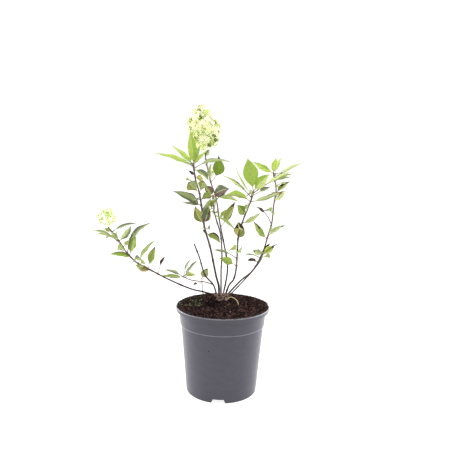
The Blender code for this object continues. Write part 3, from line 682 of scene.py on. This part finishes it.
def pot_profile():
    """(radius, height) from the middle of the underside, out, up and in to the floor's middle."""
    skirt = FOOT_RADIUS - WALL
    return rounded(
        (
            (PAD_RADIUS, 0.0),
            (PAD_RADIUS + 1.5, FLOOR_UNDERSIDE),
            (skirt, FLOOR_UNDERSIDE),
            (skirt, 0.0),
            (FOOT_RADIUS, 0.0),
            (WALL_TOP_RADIUS, WALL_TOP),
            (BAND_BOTTOM_RADIUS, BAND_BOTTOM),
            (BAND_TOP_RADIUS, LIP_BOTTOM - 1.0),
            (BAND_TOP_RADIUS + 0.4, POT_HEIGHT - WALL),
            (LIP_RADIUS - WALL, POT_HEIGHT - WALL),
            (LIP_RADIUS - WALL + 0.2, LIP_BOTTOM),
            (LIP_RADIUS - 0.3, LIP_BOTTOM),
            (LIP_RADIUS, POT_HEIGHT),
            (BAND_TOP_RADIUS - WALL, POT_HEIGHT),
            (BAND_BOTTOM_RADIUS - WALL, BAND_BOTTOM - 0.4),
            (WALL_TOP_RADIUS - WALL, WALL_TOP - 0.4),
            (wall_radius(FLOOR_TOP) - WALL, FLOOR_TOP),
            (PAD_RADIUS, FLOOR_TOP),
        ),
        CORNER_RADIUS,
    )


def notch_cutter(turn):
    out = Vector((math.cos(turn), math.sin(turn), 0))
    side = Vector((-out.y, out.x, 0))
    flare = (NOTCH_WIDTH_LOW - NOTCH_WIDTH_HIGH) / NOTCH_HEIGHT
    points = []
    for radius in (FOOT_RADIUS - WALL - 2 * CUT_PAST, FOOT_RADIUS + CUT_PAST):
        for width, height in ((NOTCH_WIDTH_LOW + flare, -1.0), (NOTCH_WIDTH_HIGH, NOTCH_HEIGHT)):
            for way in ((-1, 1) if height < 0 else (1, -1)):
                points.append(out * radius + side * (way * width / 2) + Vector((0, 0, height)))
    return object_from("notch_cutter", points, loft_faces(2, 4))


def drain_cutter(turn):
    place = Vector((DRAIN_CIRCLE * math.cos(turn), DRAIN_CIRCLE * math.sin(turn), 0))
    heights = (FLOOR_UNDERSIDE - CUT_PAST, FLOOR_TOP + CUT_PAST)
    points = [place + p for height in heights for p in ring(DRAIN_RADIUS, height, 24)]
    return object_from("drain_cutter", points, loft_faces(2, 24))


def make_pot():
    """The turned shell with its rolled lip, stepped band, notched foot and drain holes."""
    profile = pot_profile()
    points = [p for radius, height in profile for p in ring(radius, height, POT_SEGMENTS)]
    pot = object_from("pot_shell", points, loft_faces(len(profile), POT_SEGMENTS))
    first = math.radians(FIRST_NOTCH_TURN)
    cutters = [notch_cutter(first + 2 * math.pi * i / NOTCHES) for i in range(NOTCHES)]
    cutters += [drain_cutter(2 * math.pi * (i + 0.5) / DRAIN_HOLES) for i in range(DRAIN_HOLES)]
    cut(pot, cutters)
    pot.data.materials.clear()
    pot.data.materials.append(pot_material("pot_plastic", *POT_SHADES))
    pot.data.materials.append(pot_material("pot_painted_highlight", *PAINTED_HIGHLIGHT_SHADES))
    # Faces along the lip's top outer edge and the band's lower edge take the lighter second material, a
    # painted highlight
    for polygon in pot.data.polygons:
        x, y, height = polygon.center / MM
        out = math.hypot(x, y)
        lip_painted_highlight = height > POT_HEIGHT - PAINTED_HIGHLIGHT_REACH and out > LIP_RADIUS - PAINTED_HIGHLIGHT_REACH
        band_painted_highlight = 0 < height - WALL_TOP < PAINTED_HIGHLIGHT_REACH and out > WALL_TOP_RADIUS
        polygon.material_index = int(lip_painted_highlight or band_painted_highlight)
    pot.data.shade_smooth()
    pot.data.set_sharp_from_angle(angle=math.radians(35))
    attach(pot, "root")
    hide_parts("pot")


def soil_height(x, y):
    height = SOIL_LEVEL + SOIL_ROUGHNESS * noise.noise(Vector((x, y, 5.0)) / 9.0)
    for hx, hy, high, spread in SOIL_HEAPS:
        height += high * math.exp(-((x - hx) ** 2 + (y - hy) ** 2) / spread**2)
    return height


def crumb(rule, place, size):
    """A lump of ten faces with its seven corners pulled about."""
    corners = [Vector((0, 0, 1)), Vector((0, 0, -1)), *ring(1.0, 0, 5)]
    angle = rule.uniform(0, 6.3)
    axis = Vector([rule.uniform(-1, 1) for _ in range(3)]).normalized()
    spin = Matrix.Rotation(angle, 3, axis)
    scale = Vector([rule.uniform(*span) for span in CRUMB_SPANS]) * size
    points = []
    for corner in corners:
        pulled = Vector([c * s * rule.uniform(0.7, 1.25) for c, s in zip(corner, scale)])
        points.append(place + spin @ pulled)
    return points, spindle_faces(5)


def spindle_faces(sides):
    """Faces from a top and a bottom point to the ring of points between them."""
    faces = []
    for i in range(sides):
        here, there = 2 + i, 2 + (i + 1) % sides
        faces += [(0, here, there), (1, there, here)]
    return faces


def patch(x, y):
    """Which mix of crumbs lies here: moss at the back left, dark in random patches and, as painted shade,
    in the dip in front of the crown, warm elsewhere.
    """
    wavy = noise.noise(Vector((x, y, 40.0)) / 14.0)
    cornered = x < MOSS_CORNER[0] and y > MOSS_CORNER[1]
    if wavy > (-0.20 if cornered else 0.60):
        return "moss"
    rx, ry, wide = ROOT_BALL
    if math.hypot(x - rx, y - ry) < wide:
        return "root"
    # Painted shade: the dark mix is drawn towards the dip in front of the crown
    hx, hy, wide = PAINTED_SHADE_DIP
    painted_shade_weight = 0.75 * math.exp(-((x - hx) ** 2 + (y - hy) ** 2) / wide**2)
    return "warm" if wavy + 0.25 > painted_shade_weight else "dark"


def make_soil(materials):
    """The body of potting mix with a rough top, and the crumbs that lie on it."""
    rule = random.Random(f"{SEED} soil")
    soil = Builder("soil_body", materials)
    sides = (
        (wall_radius(FLOOR_TOP), FLOOR_TOP + GAP),
        (WALL_TOP_RADIUS, WALL_TOP - 0.4),
        (BAND_BOTTOM_RADIUS, BAND_BOTTOM),
    )
    rings = [ring(radius - WALL - GAP, height, SOIL_SEGMENTS) for radius, height in sides]
    for i in range(SOIL_RINGS):
        row = ring((BAND_TOP_RADIUS - WALL - GAP) * (1 - i / SOIL_RINGS), 0, SOIL_SEGMENTS)
        for p in row:
            rough = 0.9 * noise.noise(Vector((p.x, p.y, 1.0)) / 2.3) if i else 0.0
            p.z = soil_height(p.x, p.y) + rough - 0.6
        rings.append(row)
    soil.add([p for r in rings for p in r], loft_faces(len(rings), SOIL_SEGMENTS), "soil")
    soil.finish(["soil"])

    crumbs = Builder("soil_crumbs", materials)
    for _ in range(CRUMBS):
        turn = rule.uniform(0, 2 * math.pi)
        radius = LEDGE_EDGE * math.sqrt(rule.random())
        x, y = radius * math.cos(turn), radius * math.sin(turn)
        size = rule.choice(CRUMB_SIZES)
        on_ledge = radius > SOIL_EDGE - 1
        if radius > LEDGE_EDGE - 1.0 + 1.8 * noise.noise(Vector((x, y, 80.0)) / 5.0):
            continue
        if on_ledge:
            size = min(size, LEDGE_CRUMB)
        height = max(soil_height(x, y), POT_HEIGHT + 0.2 if on_ledge else 0.0)
        points, faces = crumb(rule, Vector((x, y, height + size * 0.15)), size)
        crumbs.add(points, faces, rule.choice(CRUMB_KINDS[patch(x, y)]))
    for turn, height in WALL_SPECKS:
        turn, radius = math.radians(turn), wall_radius(height)
        place = Vector((radius * math.cos(turn), radius * math.sin(turn), height))
        crumbs.add(*crumb(rule, place, 1.0), "soil")
    crumbs.finish(["soil"], 50)

    fibres = Builder("soil_fibres", materials)
    for i in range(FIBRES):
        turn = rule.uniform(-0.7, 0.9) if i % 3 == 0 else rule.uniform(0, 2 * math.pi)
        radius = SOIL_EDGE * rule.uniform(0.9, 1.02) if i % 2 else SOIL_EDGE * math.sqrt(rule.random())
        x, y = radius * math.cos(turn), radius * math.sin(turn)
        foot = Vector((x, y, soil_height(x, y) - 0.6))
        lean = Vector((rule.uniform(-1, 1), rule.uniform(-1, 1), rule.uniform(0.3, 1.5)))
        lean *= rule.uniform(*FIBRE_LENGTHS) / lean.length
        bend = foot + lean / 2 + Vector([rule.uniform(-0.8, 0.8) for _ in range(3)])
        path = smooth_path([foot, bend, foot + lean], 1.5)
        fibres.add(*tube(path, FIBRE_RADII, 4), rule.choice(("soil", "soil_brown", "soil_red", "soil_tan")))
    fibres.add(*tube(smooth_path(STICK), (0.5, 0.35), 6), "soil_brown")
    fibres.finish(["soil"])


def on_crown(x, y):
    a, b, c = CROWN_RADII
    z = c * math.sqrt(1 - (x / a) ** 2 - (y / b) ** 2)
    return Vector(CROWN) + Vector((x, y, z)), Vector((x / a**2, y / b**2, z / c**2)).normalized()


def make_rootstock(materials):
    """The woody rootstock, with knots and furrows."""
    crown = Builder("rootstock_wood", materials)
    sides, rings = 40, []
    for tilt in range(0, 88, 4):
        across, up = math.cos(math.radians(tilt)), math.sin(math.radians(tilt))
        row = []
        for p in ring(1.0, 0, sides):
            place = Vector((p.x * across, p.y * across, up)) * Vector(CROWN_RADII)
            furrow = noise.noise(Vector((place.x, place.y, place.z * 0.3)) / 2.2)
            place *= 0.93 + 0.07 * noise.noise(place / 4.0) + 0.07 * furrow
            row.append(Vector(CROWN) + place)
        rings.append(row)
    points = [p for row in rings for p in row]
    faces = loft_faces(len(rings), sides)
    kinds = []
    for face in faces:
        grain = noise.noise(points[face[0]] / 3.2) + 0.2 * noise.noise(points[face[0]] / 0.9)
        kinds.append("bark_foot" if grain > 0.12 else "bark_node" if grain > -0.1 else "bark_low")
    crown.add(points, faces, kinds)
    crown.add(*tube(smooth_path(SPROUT, 1.5), SPROUT_RADII, 8), "sprout")
    crown.finish(["rootstock"])


def smooth_path(points, step=STEM_STEP):
    """Points about a step apart on a Catmull-Rom curve through the given ones."""
    pts = [Vector(p) for p in points]
    pts = [2 * pts[0] - pts[1], *pts, 2 * pts[-1] - pts[-2]]
    path = []
    for p0, p1, p2, p3 in zip(pts, pts[1:], pts[2:], pts[3:]):
        count = max(1, round((p2 - p1).length / step))
        for i in range(count):
            t = i / count
            square = 2 * p0 - 5 * p1 + 4 * p2 - p3
            cube = 3 * p1 - p0 - 3 * p2 + p3
            path.append(0.5 * (2 * p1 + (p2 - p0) * t + square * t**2 + cube * t**3))
    return [*path, pts[-2]]


def tube(path, radii, sides=STEM_SIDES, relief=0.0, swell=()):
    """Points and faces of a tube along a path, with bark relief and swollen nodes."""
    ways = [(b - a).normalized() for a, b in zip(path, path[1:])]
    ways = [ways[0], *[(a + b).normalized() for a, b in zip(ways, ways[1:])], ways[-1]]
    across = ways[0].orthogonal().normalized()
    points = []
    for i, (place, way) in enumerate(zip(path, ways)):
        across = (across - way * across.dot(way)).normalized()
        other = way.cross(across)
        radius = radii[0] + (radii[1] - radii[0]) * i / (len(path) - 1)
        radius *= 1 + sum(SWELL * math.exp(-((place.z - height) / SWELL_REACH) ** 2) for height in swell)
        for k in range(sides):
            t = 2 * math.pi * k / sides
            out = across * math.cos(t) + other * math.sin(t)
            bark = relief * noise.noise(Vector((place.x + out.x * 3, place.y + out.y * 3, place.z * 0.4)))
            points.append(place + out * (radius + bark))
    return points, loft_faces(len(path), sides)


def bark_kinds(name, path, sides, kind, heights):
    """The bark of each face of a tube: pale at the foot, at the nodes and along the young part."""
    kinds = []
    for place in path[:-1]:
        here = kind
        if (place - Vector(CROWN)).length < FOOT_REACH:
            here = "bark_foot"
        elif any(abs(place.z - height) < NODE_REACH for height in heights):
            here = "bark_node"
        elif name in PALE_STEM and PALE_STEM[name][0] < place.z < PALE_STEM[name][1]:
            here = "petiole"
        kinds += [here] * sides
    return [*kinds, kind, kind]


def stem_path(name):
    foot, _, points = STEMS[name]
    seat, way = on_crown(*foot)
    seat += way * GAP
    return smooth_path([seat, seat + way * FOOT_RISE, *points])


def blade_frame(along, face):
    """The way a leaf's face looks, the way across its blade and the way it arches."""
    upward = (Vector((0, 0, 1)) - along * along.z).normalized()
    front = (VIEWER - along * along.dot(VIEWER)).normalized()
    side = along.cross(front)
    if side.z < 0:
        side = -side
    turned = math.radians(face)
    looks = side * math.cos(turned) + front * math.sin(turned)
    return looks, along.cross(looks), upward


def leaf_line(root, reach, bow, t, upward):
    return root + reach * t + upward * (bow * 4 * t * (1 - t))


def add_leaf(leaves, twigs, rule, root, reach, width, face, bow, look, stalk=0.12):
    """One leaf on its stalk: a folded, veined blade with toothed and waved edges."""
    reach = Vector(reach)
    looks, across, upward = blade_frame(reach.normalized(), face)
    look = LOOKS[look]
    wither = look["wither"]
    tip, tip_share = look["tip"]
    phase, waves, twist = rule.uniform(0, 6.3), rule.uniform(1.6, 2.6), rule.uniform(-0.25, 0.25)
    front, back = [], []
    for i in range(ALONG + 1):
        part = i / ALONG
        middle = leaf_line(root, reach, bow, stalk + (1 - stalk) * part, upward)
        half = width / 2 * math.sin(math.pi * part ** look["widest"])
        half = max(half * (1 - look["drawn"] * part**4), 0.25)
        if i % 2 and 2 < i < ALONG - 2:
            half *= 1 - TOOTH
        turn = twist * (part - 0.4) + wither * 0.6 * math.sin(3 * part + phase)
        wide = across * math.cos(turn) + looks * math.sin(turn)
        face_way = looks * math.cos(turn) - across * math.sin(turn)
        for u in COLUMNS:
            side = abs(u)
            lift = LEAF_FOLD * half * side
            lift += WAVE * half * u**2 * math.sin(2 * math.pi * waves * part + phase + (u > 0) * 1.3)
            ripple = math.sin(2 * math.pi * (VEINS * part - 2.2 * side))
            lift += QUILT * half * ripple * min(1, 3 * side) * (1 - side)
            lift += (look["curl"] + 0.5 * wither) * half * side**2.5
            point = middle + wide * (u * half * (1 - 0.25 * wither)) + face_way * lift
            front.append(point)
            back.append(point - face_way * (LEAF_THICKNESS * (1 - 0.6 * side) * (1 - 0.7 * part**3)))
    last = len(COLUMNS) - 1
    kinds = []
    for i in range(ALONG):
        part = (i + 0.5) / ALONG
        for j in range(last):
            u = (COLUMNS[j] + COLUMNS[j + 1]) / 2
            ragged = noise.noise(Vector((part * 7 + phase, u * 1.2, root.z)))
            half_name = "right" if u > 0 else "left"
            kind, edge = look[half_name], look[half_name + "_edge"]
            if edge and abs(u) + 0.2 * ragged > look["edge"] and part + 0.1 * ragged > look["edge_from"]:
                kind = edge
            if u == 0:
                kind = look["rib"] if look["rib"] and part < RIB_END else look["left"]
            if tip and part + 0.1 * ragged > 1 - tip_share:
                kind = tip
            kinds.append(kind)
    faces = closed_sheet(grid_faces(ALONG, last), len(front))
    kinds += [UNDERSIDES.get(kind, kind) for kind in kinds]
    kinds += [look["left_edge"] or look["left"]] * (len(faces) - len(kinds))
    leaves.add(front + back, faces, kinds)
    shares = [stalk * 1.12 * i / 6 for i in range(7)]
    line = [leaf_line(root, reach, bow, t, upward) for t in shares]
    twigs.add(*tube(line, (PETIOLE_RADIUS * 1.1, PETIOLE_RADIUS * 0.8), 7), look["stalk"])


def depth_leaves(name):
    """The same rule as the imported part's, with the same draws in the same order."""
    rule = random.Random(f"{SEED} {name}")
    rows = []
    for height in DEPTH_NODES.get(name, ()):
        for side in (1, -1):
            turn = math.radians(side * 90 + rule.uniform(-DEPTH_SWING, DEPTH_SWING))
            rise = math.radians(-side * rule.uniform(*DEPTH_RISE))
            length = rule.uniform(*DEPTH_LENGTH)
            level = length * math.cos(rise)
            reach = (level * math.cos(turn), level * math.sin(turn), length * math.sin(rise))
            width = length * DEPTH_SLENDER
            place = height + DEPTH_STEP * side
            look = DEPTH_LOOKS[int(place) % len(DEPTH_LOOKS)]
            rows.append((place, reach, width, DEPTH_FACE * side, DEPTH_ARCH, look, DEPTH_STALK))
    return rows


def place_at(path, height):
    for low, high in zip(path, path[1:]):
        if low.z <= height <= high.z:
            return low + (high - low) * ((height - low.z) / (high.z - low.z))
    return path[-1] if height > path[-1].z else path[0]


def tree_of(node):
    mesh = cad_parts[node].data
    faces = [tuple(polygon.vertices) for polygon in mesh.polygons]
    return BVHTree.FromPolygons([v.co for v in mesh.vertices], faces)


def grows(tree, root, reach):
    """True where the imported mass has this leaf's tip. The rule there skips one that would touch."""
    tip = (root + Vector(reach)) * MM
    found = tree.find_nearest(tip)
    return found[3] is not None and found[3] < 2 * MM


def make_plant(materials):
    for name, (_, radii, _) in STEMS.items():
        path = stem_path(name)
        nodes = [f"bough_{name}"]
        heights = sorted({row[0] for row in LEAVES.get(name, ())} | set(DEPTH_NODES.get(name, ())))
        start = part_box("bough_" + name)[1].z / MM if name in LEAVES else 1000
        low = [p for p in path if p.z <= start + 1.0]
        stem = Builder("stem_" + name, materials)
        middle = radii[0] + (radii[1] - radii[0]) * len(low) / len(path)
        if name == "stub":
            points, faces = tube(path, radii, relief=STEM_RELIEF, swell=STUB_NODES)
            stem.add(points, faces, bark_kinds(name, path, STEM_SIDES, "bark_low", ()))
            stem.finish(nodes)
            continue
        bare = [start - down for down in BARE_NODES]
        points, faces = tube(low, (radii[0], middle), relief=STEM_RELIEF, swell=bare)
        stem.add(points, faces, bark_kinds(name, low, STEM_SIDES, "bark_low", ()))
        stem.finish(nodes)
        make_mass(name, path[len(low) - 1:], (middle, radii[1]), heights, materials)
    way = (Vector(LOW_TWIG[1]) - Vector(LOW_TWIG[0])).normalized()
    seat = Vector(LOW_TWIG[0]) + way * STEMS["stub"][1][0]
    path = smooth_path([seat, *LOW_TWIG[1:]])
    make_mass("low_twig", path, LOW_TWIG_RADII, (), materials)
    x, y = SMALL_SHOOT[0]
    ground = (x, y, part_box("foliage_small_shoot")[0].z / MM - 0.5)
    path = smooth_path([ground, *SMALL_SHOOT[1:]])
    make_mass("small_shoot", path, SMALL_SHOOT_RADII, (), materials)


def make_mass(name, path, radii, heights, materials):
    """The leafy part of a stem: its twig in one piece and its leaves in another."""
    node = "foliage_" + name
    tree = tree_of(node)
    rule = random.Random(f"{SEED} leaves {name}")
    twigs = Builder("twig_" + name, materials)
    points, faces = tube(path, radii, relief=TWIG_RELIEF, swell=heights)
    twigs.add(points, faces, bark_kinds(name, path, STEM_SIDES, "bark_young", heights))
    leaves = Builder("leaves_" + name, materials)
    for row in (*LEAVES[name], *depth_leaves(name)):
        root = place_at(path, row[0])
        if grows(tree, root, row[1]):
            add_leaf(leaves, twigs, rule, root, *row[1:])
    twigs.finish([node])
    leaves.finish([node])


def blossom_radius(part):
    return math.sqrt(max(0.0, 1 - abs(2 * (part - WIDEST)) ** BLUNTNESS))


def add_petal(flowers, rule, centre, out, turn, size, kind):
    """One cupped sepal, wide at its end."""
    across = out.orthogonal().normalized()
    other = out.cross(across)
    way = across * math.cos(turn) + other * math.sin(turn)
    side = out.cross(way)
    cup = rule.uniform(-0.1, 0.45)
    front = []
    for i in range(PETAL_CELLS + 1):
        t = i / PETAL_CELLS
        half = size * 0.46 * math.sin(math.pi * (0.10 + 0.86 * t) ** 0.9) ** 0.8
        for j in range(PETAL_CELLS + 1):
            u = 2 * j / PETAL_CELLS - 1
            lift = cup * size * t**2 * 0.5 + 0.10 * size * u**2 - 0.05 * size * t
            front.append(centre + way * (size * t) + side * (half * u) + out * lift)
    back = [p - out * PETAL_THICKNESS for p in front]
    faces = [tuple(reversed(face)) for face in grid_faces(PETAL_CELLS, PETAL_CELLS)]
    flowers.add(front + back, closed_sheet(faces, len(front)), kind)


def grid_faces(rows, columns):
    row = columns + 1
    corners = [i * row + j for i in range(rows) for j in range(columns)]
    return [(a, a + 1, a + row + 1, a + row) for a in corners]


def closed_sheet(faces, count):
    """The front faces, the back faces and the rim of a sheet of two layers of so many points."""
    edges = {(a, b) for face in faces for a, b in zip(face, (*face[1:], face[0]))}
    rim = sorted(edge for edge in edges if edge[::-1] not in edges)
    back = [tuple(count + i for i in (face[0], *reversed(face[1:]))) for face in faces]
    return [*faces, *back, *[(b, a, count + a, count + b) for a, b in rim]]


def ball(centre, radius):
    """A small eight-faced bud."""
    ways = [Vector((0, 0, 1)), Vector((0, 0, -1)), *ring(1.0, 0, 4)]
    return [centre + way * radius for way in ways], spindle_faces(4)


def add_floret(flowers, rule, place, out, size, kind):
    """Four sepals round a small eye."""
    spin = rule.uniform(0, 1.6)
    for k in range(4):
        add_petal(flowers, rule, place, out, spin + k * math.pi / 2, size * rule.uniform(0.8, 1.1), kind)
    flowers.add(*ball(place + out * 0.3, EYE_RADIUS), "stalk")


def make_blossom(name, node, head, materials):
    """A panicle: axis, branches, and on each a cluster of open florets and unopened buds."""
    rule = random.Random(f"{SEED} fine {name}")
    path = stem_path(head["stem"])
    foot, top = Vector(head["foot"]), Vector(head["top"])
    line = smooth_path([path[-1], foot.lerp(top, 0.12), foot.lerp(top, 0.35), foot.lerp(top, 0.85)])
    stalks = Builder(name + "_stalks", materials)
    stalks.add(*tube(line, AXIS_RADII, 8), "stalk")
    flowers = Builder(name + "_florets", materials)
    for i in range(head["branches"]):
        part = 0.03 + 0.95 * (i + 0.5) / head["branches"]
        turn = i * GOLDEN_TURN + rule.uniform(-0.5, 0.5)
        flat = Vector((math.cos(turn), math.sin(turn), 0))
        out = flat + Vector((0, 0, LOOK_UP * (part - WIDEST)))
        reach = max(head["radius"] * blossom_radius(part) * rule.uniform(0.8, 1.0) - head["spread"], 0.8)
        end = foot.lerp(top, part) + flat * reach - Vector((0, 0, head["spread"] * max(0.0, out.z)))
        fork = foot.lerp(top, min(max(part - 0.22, 0.05), 0.74))
        bend = fork.lerp(end, 0.55) - Vector((0, 0, 1.5))
        stalks.add(*tube(smooth_path([fork, bend, end], 6.0), BRANCH_RADII, 5), "stalk")
        for _ in range(head["cluster"]):
            away = Vector([rule.uniform(-1, 1) for _ in range(3)])
            place = end + away * head["spread"] / max(1.0, away.length)
            facing = (out + away * 0.6).normalized()
            line = [bend.lerp(end, 0.7), end.lerp(place, 0.4), place]
            stalks.add(*tube(line, FLOWER_STALK_RADII, 4), "stalk")
            if rule.random() < head["open"] and part > head["open_from"]:
                kind = rule.choices(("cream", "lime", "green"), head["kinds"])[0]
                add_floret(flowers, rule, place, facing, head["petal"] * rule.uniform(0.75, 1.1), kind)
            else:
                kind = rule.choices(("green", "lime", "bud"), (5, 4, head["buds_dark"]))[0]
                flowers.add(*ball(place, rule.uniform(*BUD_RADII)), kind)
    for place in head["bracts"]:
        out = Vector((rule.uniform(-0.3, 0.7), -1, rule.uniform(-0.5, 0.5))).normalized()
        add_floret(flowers, rule, Vector(place), out, head["bract"], "bract")
    stalks.finish([node])
    flowers.finish([node])


def make_camera():
    right = Vector((1, 0, 0))
    ahead = Vector((0, math.cos(PITCH), -math.sin(PITCH)))
    up = Vector((0, math.sin(PITCH), math.cos(PITCH)))
    rolled_right = right * math.cos(ROLL) + up * math.sin(ROLL)
    rolled_up = up * math.cos(ROLL) - right * math.sin(ROLL)
    data = bpy.data.cameras.new("camera")
    data.sensor_width = SENSOR_MM
    data.lens = FOCAL_PIXELS / PICTURE_PIXELS * SENSOR_MM
    data.clip_start = 0.01
    camera = bpy.data.objects.new("camera", data)
    bpy.context.scene.collection.objects.link(camera)
    turn = Matrix((rolled_right, rolled_up, -ahead)).transposed().to_4x4()
    camera.matrix_world = Matrix.Translation(CAMERA_PLACE) @ turn
    bpy.context.scene.camera = camera


def add_light(name, place, target, size, power):
    data = bpy.data.lights.new(name, "AREA")
    data.shape = "DISK"
    data.size = size
    data.energy = power
    lamp = bpy.data.objects.new(name, data)
    lamp.location = place
    lamp.rotation_euler = (Vector(target) - Vector(place)).to_track_quat("-Z", "Y").to_euler()
    bpy.context.scene.collection.objects.link(lamp)


def make_studio():
    """A white floor and sky, with soft light from above and both sides."""
    mesh = bpy.data.meshes.new("floor")
    corners = [(-FLOOR, -FLOOR, 0), (FLOOR, -FLOOR, 0), (FLOOR, FLOOR, 0), (-FLOOR, FLOOR, 0)]
    mesh.from_pydata(corners, [], [(0, 1, 2, 3)])
    mesh.materials.append(new_material("floor_white", (0.35, 0.35, 0.35), 0.9, 0.1))
    glow = mesh.materials[0].node_tree.nodes["Principled BSDF"]
    glow.inputs["Emission Color"].default_value = (1, 1, 1, 1)
    glow.inputs["Emission Strength"].default_value = FLOOR_GLOW
    floor = bpy.data.objects.new("floor", mesh)
    bpy.context.scene.collection.objects.link(floor)
    world = bpy.data.worlds.new("studio")
    bpy.context.scene.world = world
    world.use_nodes = True
    world.node_tree.nodes["Background"].inputs["Color"].default_value = (1, 1, 1, 1)
    world.node_tree.nodes["Background"].inputs["Strength"].default_value = SKY_LIGHT
    bpy.context.scene.view_settings.view_transform = "Standard"
    for light in LIGHTS:
        add_light(*light)


def main():
    make_camera()
    make_studio()
    soils = {name: soil_material(name, *values) for name, values in SOIL_SHADES.items()}
    barks = {name: bark_material(name, *shades) for name, shades in BARK_SHADES.items()}
    leaves = {name: leaf_material(name, colour) for name, colour in LEAF_COLOURS.items()}
    petals = {name: petal_material(name, colour) for name, colour in BLOSSOM_COLOURS.items()}
    make_pot()
    make_soil(soils)
    make_rootstock(barks)
    make_plant({**leaves, **barks})
    make_blossom("panicle_top", "blossom_top", TOP_BLOSSOM, petals)
    make_blossom("panicle_left", "blossom_left", LEFT_BLOSSOM, petals)


main()
